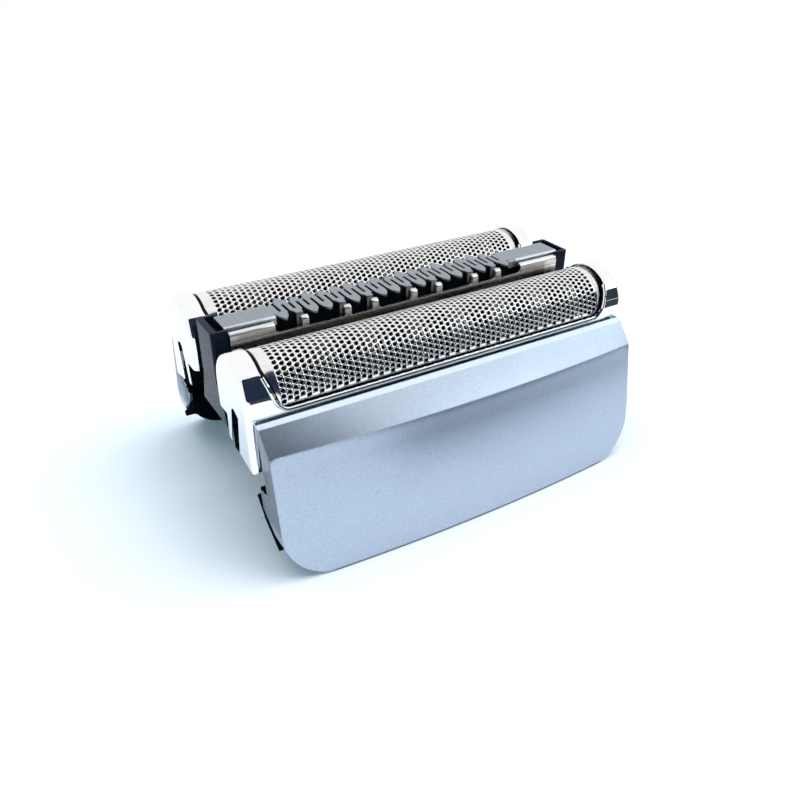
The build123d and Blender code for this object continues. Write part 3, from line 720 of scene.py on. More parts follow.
def frame_sheet():
    """A foil frame with its arch, window and slotted end caps, as a sheet round the foil's axis."""
    radius, end = size("frame_radius"), size("cap_half_length")
    window, corner, rounding = size("window_half_length"), size("window_corner"), size("cap_rounding")
    rail = window + size("window_rail")
    sill, prong_cut, skirt, prong_foot, foot, tip = -1.1, -4.05, -6.6, -7.75, -7.2, -9.15
    bm = bmesh.new()
    inner = bm.verts.new((-end, radius, 0))
    bmesh.ops.spin(bm, geom=[inner], cent=(-end, 0, 0), axis=(1, 0, 0), angle=pi, steps=56)
    outer = min(bm.verts, key=lambda vert: vert.co.y)
    heights = [sill, -2.5, prong_cut, -5.4, skirt]
    rows_down(bm, inner, heights + [foot])
    rows_down(bm, outer, heights + [-7.8, tip])
    groove, cap_depth = end - 0.62, 3.3
    stations = [-groove, 0.06 - groove, -29.5, -rail, -window, cap_depth - end, corner - window]
    stations += [-20, -13, -6.5]
    sweep_along_x(bm, stations + [0] + [-place for place in reversed(stations)] + [end])
    flat_arch, leg_flare = 0.957, 0.06
    for vert in bm.verts:
        vert.co.z *= flat_arch if vert.co.z > 0 else 1
        inset = max(0.0, (abs(vert.co.x) - groove) / (end - groove))
        vert.co -= size("cap_step") * inset * Vector((0, vert.co.y, max(0.0, vert.co.z))).normalized()
        if vert.co.y < 0:
            vert.co.y -= leg_flare * max(0.0, prong_cut - vert.co.z)
    for way in (-1, 1):
        loop = edges_where(bm, lambda p: abs(p.x - way * end) < 1e-4)
        rim = [v for v in bm.verts if abs(v.co.x - way * end) < 1e-4]
        feet = [min((v for v in rim if v.co.y * side > 0), key=lambda v: v.co.z) for side in (-1, 1)]
        loop.append(bm.edges.new(feet))
        bmesh.ops.contextual_create(bm, geom=loop)
    rim = edges_where(bm, lambda p: abs(abs(p.x) - end) < 1e-4)
    rim = [edge for edge in rim if len(edge.link_faces) == 2]
    bmesh.ops.bevel(bm, geom=rim, offset=rounding, segments=5, profile=0.5, affect="EDGES", material=-1,
                    clamp_overlap=True)
    face_outwards(bm, (0, 0, -2))

    def on_cap(p):
        return abs(p.x) > end - rounding - 0.12

    slot_inner = ((0.15, -2.25), (1.42, prong_foot))
    slot_outer = ((-2.1, -2.5), (-0.95, tip))
    slot_top = (((-0.6, -1.8), (0.15, -2.25)), ((-2.1, -2.5), (-0.6, -1.8)))
    prong_edge = ((2.16, prong_cut), (2.30, prong_foot))
    for line in (slot_inner, slot_outer, prong_edge):
        cut_line(bm, picked(bm, lambda p: on_cap(p) and p.z < 5.6), line)

    def in_slot(p):
        return below(slot_outer, p) is False and below(slot_inner, p)

    for line in slot_top:
        cut_line(bm, picked(bm, lambda p: on_cap(p) and in_slot(p)), line)
    toe_radius = 0.4
    toe = Vector((0, toe_radius - radius - leg_flare * (prong_cut - tip), tip + toe_radius))

    def at_toe(p):
        return p.y < toe.y and p.z < -7

    for turn in (15, 45, 75):
        normal = Vector((0, -cos(radians(turn)), -sin(radians(turn))))
        cut(bm, picked(bm, at_toe), toe + toe_radius * normal, normal)
        remove(bm, lambda p: at_toe(p) and (Vector((0, p.y, p.z)) - toe).dot(normal) > toe_radius)
    cut(bm, picked(bm, lambda p: on_cap(p) and p.y > 0), (0, 0, prong_cut), (0, 0, 1))
    cut(bm, picked(bm, lambda p: on_cap(p) and p.y > 0), (0, 0, prong_foot), (0, 0, 1))
    remove(bm, lambda p: on_cap(p) and in_slot(p) and all(below(line, p) for line in slot_top))
    remove(bm, lambda p: on_cap(p) and p.y > 0 and (
        p.z < prong_foot or (p.z < prong_cut and not below(prong_edge, p))))
    remove(bm, lambda p: p.y > 0 and p.z < prong_cut and not on_cap(p))
    remove(bm, lambda p: abs(p.x) < end - cap_depth and p.z < skirt)
    open_window(bm, lambda p: abs(p.x) < window + 0.4, -window, window, sill, corner, 7)
    lean_start, lean_length, lean_foot, lean_height = 22, 4, -2.5, 1.4
    for vert in bm.verts:
        x, z = abs(vert.co.x), vert.co.z
        share = held((groove - x) / (groove - rail)) * held((x - lean_start) / lean_length)
        lean = window_lean(z) * share * held((z - lean_foot) / lean_height)
        vert.co.x -= lean if vert.co.x > 0 else -lean
    bmesh.ops.remove_doubles(bm, verts=bm.verts, dist=1e-4)
    face_outwards(bm, (0, 0, -2))
    return bm


def window_bead():
    """The round bead along the edge of a frame's window."""
    bm = frame_sheet()
    radius, half = size("frame_bead"), size("window_half_length")
    edges = open_edges(bm, lambda p: abs(p.x) < half - window_lean(p.z) + 1e-2 and -1.11 < p.z < 3.6)
    turns = [2 * pi * step / 10 for step in range(11)]
    rows = grow_rim(bm, edges, [(radius * cos(turn) - 0.05, radius * sin(turn)) for turn in turns])[1]
    bead = {vert for row in rows for vert in row}
    bmesh.ops.delete(bm, geom=[vert for vert in bm.verts if vert not in bead], context="VERTS")
    bmesh.ops.remove_doubles(bm, verts=bm.verts, dist=1e-4)
    bmesh.ops.recalc_face_normals(bm, faces=bm.faces)
    return bm


class FOILHEAD_OT_frames(bpy.types.Operator):
    """Makes the plated foil frames"""

    bl_idname = "foil_head.frames"
    bl_label = "Foil frames"

    def execute(self, context):
        material = chrome_plate()
        end = size("cap_half_length") * MM
        for side, behind in sides():
            for bm, name in ((frame_sheet(), "frame_shell"), (window_bead(), "window_bead")):
                set_on_side(bm, behind)
                piece = new_piece(bm, f"{side}_{name}", f"{side}_foil_head", material,
                                  [f"{side}_foil_frame"])
                if name == "window_bead":
                    continue
                full = [vert.index for vert in piece.data.vertices if abs(vert.co.x) < end - 1e-5]
                piece.vertex_groups.new(name="full_wall").add(full, 1.0, "REPLACE")
                wall = thicken(piece, size("frame_wall"))
                wall.vertex_group = "full_wall"
                wall.thickness_vertex_group = 0.5
                round_edges(piece, 0.07, 3, 35.0)
        return {"FINISHED"}


# Foils


def hole_cell(bm, width, height):
    """One cell of the foil with its hole."""
    made = bmesh.ops.create_grid(bm, x_segments=2, y_segments=2, size=0.5)["verts"]
    bmesh.ops.dissolve_verts(bm, verts=[min(made, key=lambda vert: vert.co.length)])
    cell = list(bm.faces)
    bmesh.ops.inset_individual(bm, faces=cell, thickness=0.1)
    ring = list(cell[0].verts)
    bmesh.ops.delete(bm, geom=cell, context="FACES_ONLY")
    bmesh.ops.scale(bm, vec=(width, height, 1), verts=bm.verts)
    for vert in ring:
        spoke = Vector((vert.co.x / width, vert.co.y / height, 0)).normalized()
        vert.co = (spoke.x * size("hole_width") / 2, spoke.y * size("hole_height") / 2, 0)


def repeat(bm, geometry, offset, copies):
    """Copies a group of geometry at equal steps."""
    for index in range(1, copies):
        made = bmesh.ops.duplicate(bm, geom=geometry)["geom"]
        bmesh.ops.translate(bm, verts=only(made, bmesh.types.BMVert), vec=Vector(offset) * index)


def foil_sheet():
    """A perforated foil: a flat field of staggered holes, wrapped over the arch."""
    width, row = size("hole_column"), size("hole_row")
    pairs, rows = value("hole_pairs"), value("hole_rows")
    radius, leg = size("foil_radius"), size("foil_leg")
    half_field, half_width = rows * row / 2, pairs * width
    bm = bmesh.new()
    hole_cell(bm, width, row)
    repeat(bm, everything(bm), (0, row, 0), rows)
    full = everything(bm)
    made = bmesh.ops.duplicate(bm, geom=full)["geom"]
    bmesh.ops.translate(bm, verts=only(made, bmesh.types.BMVert), vec=(width, row / 2, 0))
    remove(bm, lambda p: p.x > width / 2 and p.y > (rows - 1) * row)
    for place in (-row / 4, (rows - 1) * row + row / 4):
        patch = bmesh.ops.create_grid(bm, x_segments=2, y_segments=1, size=0.5)["verts"]
        bmesh.ops.scale(bm, vec=(width, row / 2, 1), verts=patch)
        bmesh.ops.translate(bm, verts=patch, vec=(width, place, 0))
    loose = [vert for vert in bm.verts if not vert.link_faces]
    bmesh.ops.delete(bm, geom=loose, context="VERTS")
    repeat(bm, everything(bm), (2 * width, 0, 0), pairs)
    bmesh.ops.remove_doubles(bm, verts=bm.verts, dist=1e-3)
    bmesh.ops.translate(bm, verts=bm.verts, vec=(width / 2 - half_width, row / 2 - half_field, 0))
    half_arc = pi * radius / 2
    ends = open_edges(bm, lambda p: abs(abs(p.x) - half_width) < 1e-3)
    for vert in extrude_edges(bm, ends)[1]:
        vert.co.x = size("foil_half_length") * (1 if vert.co.x > 0 else -1)
    lower = open_edges(bm, lambda p: abs(abs(p.y) - half_field) < 1e-3)
    for vert in extrude_edges(bm, lower)[1]:
        vert.co.y = (half_arc + leg) * (1 if vert.co.y > 0 else -1)
    for vert in bm.verts:
        place = vert.co.y
        if abs(place) > half_arc:
            way = 1 if place > 0 else -1
            vert.co = (vert.co.x, way * radius, half_arc - abs(place))
        else:
            vert.co = (vert.co.x, radius * sin(place / radius), radius * cos(place / radius))
    face_outwards(bm, (0, 0, -2))
    bmesh.ops.translate(bm, verts=bm.verts, vec=(0, -FOIL_Y, FOIL_Z))
    return bm


def dark_arch(start, end, radius, foot, behind):
    """A plain arch along a foil, that keeps the light out of the holes above it."""
    bm = bmesh.new()
    inner = bm.verts.new((start, radius, 0))
    bmesh.ops.spin(bm, geom=[inner], cent=(start, 0, 0), axis=(1, 0, 0), angle=pi, steps=24)
    outer = min(bm.verts, key=lambda vert: vert.co.y)
    rows_down(bm, inner, [foot])
    rows_down(bm, outer, [foot])
    sweep_along_x(bm, [end])
    face_outwards(bm, ((start + end) / 2, 0, foot))
    set_on_side(bm, behind)
    return bm


class FOILHEAD_OT_foils(bpy.types.Operator):
    """Makes the perforated foils and the liners under their ends"""

    bl_idname = "foil_head.foils"
    bl_label = "Foils"

    def execute(self, context):
        material = foil_steel()
        dark = plastic("liner_plastic", colour("inner"), 0.4, 0.55, 2200)
        liner_length, liner_radius, liner_foot = 4.0, 4.6, -1.0
        for side, behind in sides():
            bm = foil_sheet()
            if behind:
                bmesh.ops.scale(bm, vec=(-1, -1, 1), verts=bm.verts)
            piece = new_piece(bm, f"{side}_foil_sheet", f"{side}_foil_head", material,
                              [f"{side}_foil"], 60.0)
            thicken(piece, size("foil_wall"))
            for end, start in (("left", -27.9), ("right", 23.9)):
                bm = dark_arch(start, start + liner_length, liner_radius, liner_foot, behind)
                new_piece(bm, f"{side}_{end}_liner", f"{side}_foil_head", dark, [])
        return {"FINISHED"}


# Cutters


class FOILHEAD_OT_blades(bpy.types.Operator):
    """Makes the rows of cutter blades under the foils"""

    bl_idname = "foil_head.blades"
    bl_label = "Cutter blades"

    def execute(self, context):
        material = metal("blade_steel", colour("blade"), 0.25, 0.4, (1, 1, 0.1), 1800, 0.1)
        dark = plastic("core_plastic", colour("inner"), 0.4, 0.55, 2200)
        outer, inner, foot, thickness = 4.38, 3.6, -3.3, 0.26
        core_half_length, core_radius, core_foot = 22.7, 3.55, -3.0
        pitch, blades = size("blade_pitch"), value("blade_count")
        for side, behind in sides():
            bm = bmesh.new()
            top = extend(bm, bm.verts.new((-pitch * (blades - 1) / 2, outer, foot)))
            top.co.z = 0
            bmesh.ops.spin(bm, geom=[top], cent=(top.co.x, 0, 0), axis=(1, 0, 0), angle=pi, steps=18)
            rows_down(bm, min(bm.verts, key=lambda vert: vert.co.y), [foot])
            for vert in extrude_edges(bm, list(bm.edges))[1]:
                out = Vector((0, vert.co.y, max(0.0, vert.co.z))).normalized()
                vert.co -= (outer - inner) * out
            sheet = extrude_region(bm, list(bm.faces))
            bmesh.ops.translate(bm, verts=sheet, vec=(thickness, 0, 0))
            repeat(bm, everything(bm), (pitch, 0, 0), blades)
            bmesh.ops.recalc_face_normals(bm, faces=bm.faces)
            set_on_side(bm, behind)
            new_piece(bm, f"{side}_blade_stack", f"{side}_cutter", material,
                      [f"{side}_cutter_blades"], 40.0)
            bm = dark_arch(-core_half_length, core_half_length, core_radius, core_foot, behind)
            new_piece(bm, f"{side}_blade_core", f"{side}_cutter", dark, [])
        return {"FINISHED"}


# Trimmer


def channel_sheet():
    """The rolled trimmer channel with its windows between straps, as a sheet."""
    roll, lip = 0.62, 0.72
    half = CHANNEL_HALF_WIDTH
    bm = bmesh.new()
    corner = extend(bm, bm.verts.new((-CHANNEL_HALF_LENGTH, half - lip, CHANNEL_TOP_Z)))
    corner.co.y = half - roll
    bmesh.ops.spin(bm, geom=[corner], cent=(-CHANNEL_HALF_LENGTH, half - roll, CHANNEL_TOP_Z - roll),
                   axis=(-1, 0, 0), angle=pi / 2, steps=6)
    side = max(bm.verts, key=lambda vert: (round(vert.co.y, 4), -vert.co.z))
    rows_down(bm, side, [25.1, 24.1, 22.6, CHANNEL_BOTTOM_Z])
    floor = extend(bm, min(bm.verts, key=lambda vert: vert.co.z))
    floor.co.y = 0
    bmesh.ops.mirror(bm, geom=everything(bm), axis="Y", merge_dist=1e-4)
    bmesh.ops.remove_doubles(bm, verts=bm.verts, dist=1e-4)
    sweep_along_x(bm, [-24, -20, -15, -10, -5, 0, 5, 10, 15, 20, 24, CHANNEL_HALF_LENGTH])
    lead, tail, corner_radius = 1.8, 2.7, 0.7
    pitch, strap = size("tooth_pitch"), size("strap_width")
    straps = [FIRST_TOOTH_X + STRAP_OFFSET + pitch * step for step in STRAP_STEPS]
    last_tooth = FIRST_TOOTH_X + pitch * (value("tooth_count") - 1)
    starts = [FIRST_TOOTH_X - lead] + [x + strap / 2 for x in straps]
    ends = [x - strap / 2 for x in straps] + [last_tooth + tail]
    for start, end in zip(starts, ends):
        open_window(bm, lambda p: p.y < -2, start, end, CHANNEL_SILL_Z, corner_radius, 4)
        open_window(bm, lambda p: p.y > 2, -end, -start, CHANNEL_SILL_Z, corner_radius, 4)
    bmesh.ops.remove_doubles(bm, verts=bm.verts, dist=1e-4)
    face_outwards(bm, (0, 0, 25))
    return bm


class FOILHEAD_OT_channel(bpy.types.Operator):
    """Makes the rolled trimmer channel"""

    bl_idname = "foil_head.channel"
    bl_label = "Trimmer channel"

    def execute(self, context):
        wall, rounding = 0.36, 0.09
        piece = new_piece(channel_sheet(), "trimmer_channel_shell", "trimmer",
                          channel_steel(), ["trimmer_channel"])
        thicken(piece, wall)
        round_edges(piece, rounding, 3, 35.0)
        return {"FINISHED"}


def grow_tooth(bm, edges, way, steps):
    """Extrudes a tooth from the plate's edge through widths at distances, and gives its tip."""
    for distance, half_width in steps:
        edges, verts = extrude_edges(bm, edges)
        middle = sum(vert.co.x for vert in verts) / len(verts)
        reach = max(abs(vert.co.x - middle) for vert in verts)
        for vert in verts:
            vert.co.x = middle + (vert.co.x - middle) / reach * half_width
            vert.co.y = way * distance
    return edges


def fold_end(bm, way, limit, outer, root):
    """Draws one end of the plate out to its full length and folds its long edges down."""
    half_width, fold, flange, neck = 2.2, 0.45, 1.2, 0.02
    flat = half_width - fold
    edges = open_edges(bm, lambda p: abs(p.x - limit) < 1e-4 and abs(p.y) < root + 1e-3)
    edges, verts = extrude_edges(bm, edges)
    bmesh.ops.translate(bm, verts=verts, vec=(way * neck, 0, 0))
    bmesh.ops.scale(bm, vec=(1, flat / root, 1), verts=verts)
    start = limit + way * neck
    for share in (0.33, 0.67, 1.0):
        edges, verts = extrude_edges(bm, edges)
        for vert in verts:
            vert.co.x = start + (outer - start) * share
    low, high = sorted((start, outer))
    edges = open_edges(bm, lambda p: low - 1e-3 < p.x < high + 1e-3 and abs(abs(p.y) - flat) < 1e-3)
    for angle in (22.5, 45, 67.5, 90):
        edges, verts = extrude_edges(bm, edges)
        turn = radians(angle)
        for vert in verts:
            vert.co.y = (1 if vert.co.y > 0 else -1) * (flat + fold * sin(turn))
            vert.co.z = TRIMMER_TOP_Z - fold * (1 - cos(turn))
    for vert in extrude_edges(bm, edges)[1]:
        vert.co.z = TRIMMER_TOP_Z - flange


def plate_sheet():
    """The slit trimmer plate with its teeth and folded edges, as a sheet."""
    root, slit_end, left, right = 1.4, 1.0, -28.1, 28.7
    pitch, teeth, slit = size("tooth_pitch"), value("tooth_count"), size("slit_width") / 2
    front = [FIRST_TOOTH_X + pitch * index for index in range(teeth)]
    rear = [x + pitch / 2 for x in front[:-1]]
    start, end = front[0] - pitch / 2, front[-1] + pitch / 2
    bm = bmesh.new()
    first = bm.verts.new((start, -root, TRIMMER_TOP_Z))
    for place in (-slit_end, slit_end, root):
        first = extend(bm, first)
        first.co.y = place
    stations = sorted([x + way * slit for x in front + rear for way in (-1, 1)] + front + rear + [end])
    sweep_along_x(bm, stations)

    def near(places, x):
        return any(abs(x - place) < slit for place in places)

    remove(bm, lambda p: near(rear, p.x) and p.y < slit_end)
    remove(bm, lambda p: near(front, p.x) and p.y > -slit_end)

    pointed = ((1.85, 0.84), (2.45, 0.70), (2.95, 0.40), (3.30, 0.15), (3.40, 0.06))
    blunt = ((1.75, 0.62), (2.10, 0.52), (2.45, 0.50))
    bend_out, bend_down, leg_length = 0.12, 0.22, 2.2
    legs = []
    for places, marks, way in ((front, BLUNT_FRONT, -1), (rear, BLUNT_REAR, 1)):
        for index, x in enumerate(places):

            def at_root(p):
                return abs(p.y - way * root) < 1e-4 and abs(p.x - x) < pitch / 2 + 1e-3

            tip = grow_tooth(bm, edges_where(bm, at_root), way, blunt if index in marks else pointed)
            if index in marks:
                legs.append((tip, way))
    for tip, way in legs:
        edges, verts = extrude_edges(bm, tip)
        bmesh.ops.translate(bm, verts=verts, vec=(0, way * bend_out, -bend_down))
        bmesh.ops.translate(bm, verts=extrude_edges(bm, edges)[1], vec=(0, 0, -leg_length))
    fold_end(bm, -1, start, left, root)
    fold_end(bm, 1, end, right, root)
    bmesh.ops.remove_doubles(bm, verts=bm.verts, dist=1e-4)
    face_outwards(bm, (0, 0, 20))
    return bm


class FOILHEAD_OT_plate(bpy.types.Operator):
    """Makes the slit trimmer plate"""

    bl_idname = "foil_head.plate"
    bl_label = "Trimmer plate"

    def execute(self, context):
        wall, rounding = 0.33, 0.05
        piece = new_piece(plate_sheet(), "trimmer_tooth_plate", "trimmer_cutter",
                          plate_steel(), ["trimmer_cutter_plate"])
        thicken(piece, wall)
        round_edges(piece, rounding, 2, 35.0)
        return {"FINISHED"}


def end_block(wall):
    """A trimmer end: a widening block with an open recess for the plate, on the left."""
    outer, inner, top, shoulder, foot = -30.26, -27.9, TRIMMER_TOP_Z, 20.7, 14.9
    half, wide, recess_half, recess, step = 3.0, 4.8, 2.4, 1.6, 0.14
    tongue_depth, tongue_width, tongue_height, tongue_z = 1.5, 2.8, 5.6, 17.7
    bm = bmesh.new()
    made = bmesh.ops.create_grid(bm, x_segments=3, y_segments=5, size=0.5)["verts"]
    columns = [-half, -recess_half, recess_half, half]
    rows = [foot, shoulder - 0.25, shoulder, top - recess - 1.0, top - recess, top]
    for vert in made:
        column, row = round((vert.co.x + 0.5) * 3), round((vert.co.y + 0.5) * 5)
        low = row < 2
        widening = 1 + (wide / half - 1) * (shoulder - rows[row]) / (shoulder - foot) if low else 1
        vert.co = (outer + (step if low else 0), columns[column] * widening, rows[row])
    for vert in extrude_region(bm, list(bm.faces)):
        vert.co.x = outer + wall
    bmesh.ops.recalc_face_normals(bm, faces=bm.faces)

    def inner_face(p):
        return abs(p.x - outer - wall) < 1e-4 and not (abs(p.y) < recess_half and p.z > top - recess)

    block = extrude_region(bm, picked(bm, inner_face))
    bmesh.ops.translate(bm, verts=block, vec=(inner - outer - wall, 0, 0))
    bmesh.ops.remove_doubles(bm, verts=bm.verts, dist=1e-4)
    remove(bm, inner_face)
    corners = edges_where(bm, lambda p: abs(p.x - outer) < 1e-4 and abs(abs(p.y) - half) < 1e-4)
    bmesh.ops.bevel(bm, geom=corners, offset=0.4, segments=4, profile=0.5, affect="EDGES", material=-1,
                    clamp_overlap=True)
    tongue = bmesh.ops.create_cube(bm, size=1.0)["verts"]
    bmesh.ops.scale(bm, vec=(tongue_depth, tongue_width, tongue_height), verts=tongue)
    bmesh.ops.translate(bm, verts=tongue, vec=(inner + tongue_depth / 2, 0, tongue_z))
    bmesh.ops.recalc_face_normals(bm, faces=bm.faces)
    return bm


class FOILHEAD_OT_ends(bpy.types.Operator):
    """Makes the black ends of the trimmer"""

    bl_idname = "foil_head.ends"
    bl_label = "Trimmer ends"

    def execute(self, context):
        material = plastic("holder_plastic", colour("ends"), 0.22, 0.34, 2600, 0.09)
        for side, wall in (("left", 0.95), ("right", 0.4)):
            bm = end_block(wall)
            if side == "right":
                bmesh.ops.scale(bm, vec=(-1, 1, 1), verts=bm.verts)
                bmesh.ops.reverse_faces(bm, faces=bm.faces)
            piece = new_piece(bm, f"trimmer_{side}_end_block", "trimmer", material,
                              [f"trimmer_end_{side}"])
            round_edges(piece, 0.14, 3, 30.0)
        return {"FINISHED"}


# Panel clips


class FOILHEAD_OT_clips(bpy.types.Operator):
    """Makes the black clips that hold the panels' ends"""

    bl_idname = "foil_head.clips"
    bl_label = "Panel clips"

    def execute(self, context):
        material = plastic("clip_plastic", colour("chassis"), 0.35, 0.5, 1800)
        bm = bmesh.new()
        clip_x, thickness = -29.3, 1.0
        arms = (((-14.5, 10.7), (-16.0, 10.5)), ((-13.2, 9.0), (-15.3, 6.6)), ((-14.9, 6.7), (-19.4, 3.9)))
        for (y0, z0), (y1, z1) in arms:
            arm = bmesh.ops.create_cube(bm, size=1.0)["verts"]
            along = Vector((0, y1 - y0, z1 - z0))
            bmesh.ops.scale(bm, vec=(thickness, along.length, thickness), verts=arm)
            turn = Vector((0, 1, 0)).rotation_difference(along).to_matrix()
            bmesh.ops.rotate(bm, cent=(0, 0, 0), matrix=turn, verts=arm)
            bmesh.ops.translate(bm, verts=arm, vec=(clip_x, (y0 + y1) / 2, (z0 + z1) / 2))
        for axis in ("X", "Y"):
            bmesh.ops.mirror(bm, geom=everything(bm), axis=axis, merge_dist=1e-5)
        bmesh.ops.recalc_face_normals(bm, faces=bm.faces)
        piece = new_piece(bm, "panel_clips", "housing", material, [])
        round_edges(piece, 0.15, 3, 30.0)
        return {"FINISHED"}


# Springs


def leaf_sheet(bm, x, y, width, low, high, folds, reach):
    """A flat spring folded to and fro between two heights."""
    first = bm.verts.new((x - reach, y - width / 2, low))
    for step in range(1, folds + 1):
        first = extend(bm, first)
        first.co = (x + (reach if step % 2 else -reach), y - width / 2, low + (high - low) * step / folds)
    line = [edge for edge in bm.edges if edge.is_wire]
    bmesh.ops.translate(bm, verts=extrude_edges(bm, line)[1], vec=(0, width, 0))


class FOILHEAD_OT_springs(bpy.types.Operator):
    """Makes the folded springs under the foils and the trimmer"""

    bl_idname = "foil_head.springs"
    bl_label = "Springs"

    def execute(self, context):
        material = metal("spring_steel", colour("spring"), 0.2, 0.3, (1, 1, 1), 900, 0.08)
        wall, reach, ends, rails = 0.12, 1.7, (-22.5, 22.5), (-4.44, 4.44)
        low, foil_high, trimmer_high = SPRING_SEAT_Z + 0.1, 16.6, CHANNEL_BOTTOM_Z - 0.1
        for side, behind in sides():
            bm = bmesh.new()
            for rail in rails:
                for x in ends:
                    leaf_sheet(bm, x, rail - FOIL_Y, 0.8, low, foil_high, 2, reach)
            if behind:
                mirror_to_rear(bm)
            piece = new_piece(bm, f"{side}_foil_leaves", "housing", material,
                              [f"{side}_foil_springs"])
            thicken(piece, wall)
            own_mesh(piece)
        bm = bmesh.new()
        for x in ends:
            leaf_sheet(bm, x, 0, 2.4, low, trimmer_high, 4, reach)
        piece = new_piece(bm, "trimmer_leaves", "housing", material, ["trimmer_springs"])
        thicken(piece, wall)
        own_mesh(piece)
        return {"FINISHED"}


# Pieces that keep their solids


class FOILHEAD_OT_moulded(bpy.types.Operator):
    """Gives the chassis, holders, carriers and other solids their materials"""

    bl_idname = "foil_head.moulded"
    bl_label = "Moulded pieces"

    def execute(self, context):
        finishes = {
            "chassis_plastic": plastic("chassis_plastic", colour("chassis"), 0.35, 0.5, 1800),
            "inner_plastic": plastic("inner_plastic", colour("inner"), 0.4, 0.55, 2200),
            "carrier_plastic": plastic("carrier_plastic", colour("carrier"), 0.35, 0.5, 2000),
            "spring_steel": metal("leaf_steel", colour("spring"), 0.2, 0.3, (1, 1, 1), 900, 0.08),
        }
        for part in frame["record"]["subparts"]:
            finish = finishes.get(part["material_slot"])
            if finish is None:
                continue
            for slot in frame["nodes"][part["node"]].material_slots:
                slot.material = finish
        return {"FINISHED"}


# Stage


def light_only(obj):
    """Keeps a studio card out of the picture, so that only reflections show it."""
    obj.visible_camera = False
    obj.visible_diffuse = False
    obj.visible_shadow = False
    obj.visible_transmission = False
    obj.visible_volume_scatter = False


def area_light(name, place, target, side, power, tone):
    """A soft studio light."""
    data = bpy.data.lights.new(name, "AREA")
    data.shape = "SQUARE"
    data.size = side
    data.energy = power
    data.color = tone
    lamp = bpy.data.objects.new(name, data)
    lamp.location = place
    lamp.rotation_euler = (Vector(target) - Vector(place)).to_track_quat("-Z", "Y").to_euler()
    lamp.visible_glossy = False
    bpy.context.scene.collection.objects.link(lamp)


def card(name, place, target, width, height, tone, strength=1.0):
    """A plain card that the metal reflects."""
    bm = bmesh.new()
    bmesh.ops.create_grid(bm, x_segments=1, y_segments=1, size=0.5)
    bmesh.ops.scale(bm, vec=(width, height, 1), verts=bm.verts)
    turn = (Vector(target) - Vector(place)).to_track_quat("-Z", "Y").to_matrix().to_4x4()
    bmesh.ops.transform(bm, matrix=Matrix.Translation(place) @ turn, verts=bm.verts)
    mesh = bpy.data.meshes.new(name)
    bm.to_mesh(mesh)
    bm.free()
    material = bpy.data.materials.new(name)
    material.use_nodes = True
    nodes, links = material.node_tree.nodes, material.node_tree.links
    nodes.clear()
    glow = nodes.new("ShaderNodeEmission")
    glow.inputs["Color"].default_value = (*tone, 1.0)
    glow.inputs["Strength"].default_value = strength
    out = nodes.new("ShaderNodeOutputMaterial")
    links.new(glow.outputs["Emission"], out.inputs["Surface"])
    mesh.materials.append(material)
    obj = bpy.data.objects.new(name, mesh)
    bpy.context.scene.collection.objects.link(obj)
    light_only(obj)


def floor_paper():
    """White paper that glows a little, and fades to plain white away from the head."""
    finish = Finish("floor_paper")
    finish.colour(finish.tones(finish.noise((1, 1, 1), 60), colour("floor"), 0.995, 1.005))
    values = {"Roughness": 0.9, "Specular IOR Level": 0.0, "Emission Strength": 0.14,
              "Emission Color": (0.62, 0.86, 1, 1)}
    for name, amount in values.items():
        finish.shader.inputs[name].default_value = amount
    fade_start, fade_end = 0.07, 0.14
    distance = finish.nodes.new("ShaderNodeVectorMath")
    distance.operation = "LENGTH"
    finish.links.new(finish.place, distance.inputs[0])
    fade = finish.nodes.new("ShaderNodeMapRange")
    fade.interpolation_type = "SMOOTHSTEP"
    fade.inputs["From Min"].default_value = fade_start
    fade.inputs["From Max"].default_value = fade_end
    finish.links.new(distance.outputs["Value"], fade.inputs["Value"])
    glow = finish.nodes.new("ShaderNodeEmission")
    glow.inputs["Color"].default_value = (1, 1, 1, 1)
    mix = finish.nodes.new("ShaderNodeMixShader")
    finish.links.new(fade.outputs["Result"], mix.inputs["Fac"])
    finish.links.new(finish.shader.outputs["BSDF"], mix.inputs[1])
    finish.links.new(glow.outputs["Emission"], mix.inputs[2])
    finish.links.new(mix.outputs["Shader"], finish.nodes["Material Output"].inputs["Surface"])
    return finish.material


def paper_floor():
    """The round sheet of paper that the head stands on."""
    bm = bmesh.new()
    bmesh.ops.create_circle(bm, cap_ends=True, segments=64, radius=1.5)
    mesh = bpy.data.meshes.new("floor")
    bm.to_mesh(mesh)
    bm.free()
    mesh.materials.append(floor_paper())
    floor = bpy.data.objects.new("floor", mesh)
    bpy.context.scene.collection.objects.link(floor)


def studio_world():
    """White to the camera and to reflections, and a plain blue fill light otherwise."""
    world = bpy.data.worlds.new("studio")
    world.use_nodes = True
    nodes, links = world.node_tree.nodes, world.node_tree.links
    nodes.clear()
    paths = nodes.new("ShaderNodeLightPath")
    seen = paths.outputs["Is Camera Ray"]
    for ray in ("Is Glossy Ray", "Is Transmission Ray"):
        either = nodes.new("ShaderNodeMath")
        either.operation = "MAXIMUM"
        links.new(seen, either.inputs[0])
        links.new(paths.outputs[ray], either.inputs[1])
        seen = either.outputs["Value"]
    mix = nodes.new("ShaderNodeMixShader")
    links.new(seen, mix.inputs["Fac"])
    for socket, tone, strength in ((1, (0.45, 0.72, 1.0, 1.0), 0.52), (2, (1, 1, 1, 1), 1.0)):
        light = nodes.new("ShaderNodeBackground")
        light.inputs["Color"].default_value = tone
        light.inputs["Strength"].default_value = strength
        links.new(light.outputs["Background"], mix.inputs[socket])
    out = nodes.new("ShaderNodeOutputWorld")
    links.new(mix.outputs["Shader"], out.inputs["Surface"])
    return world


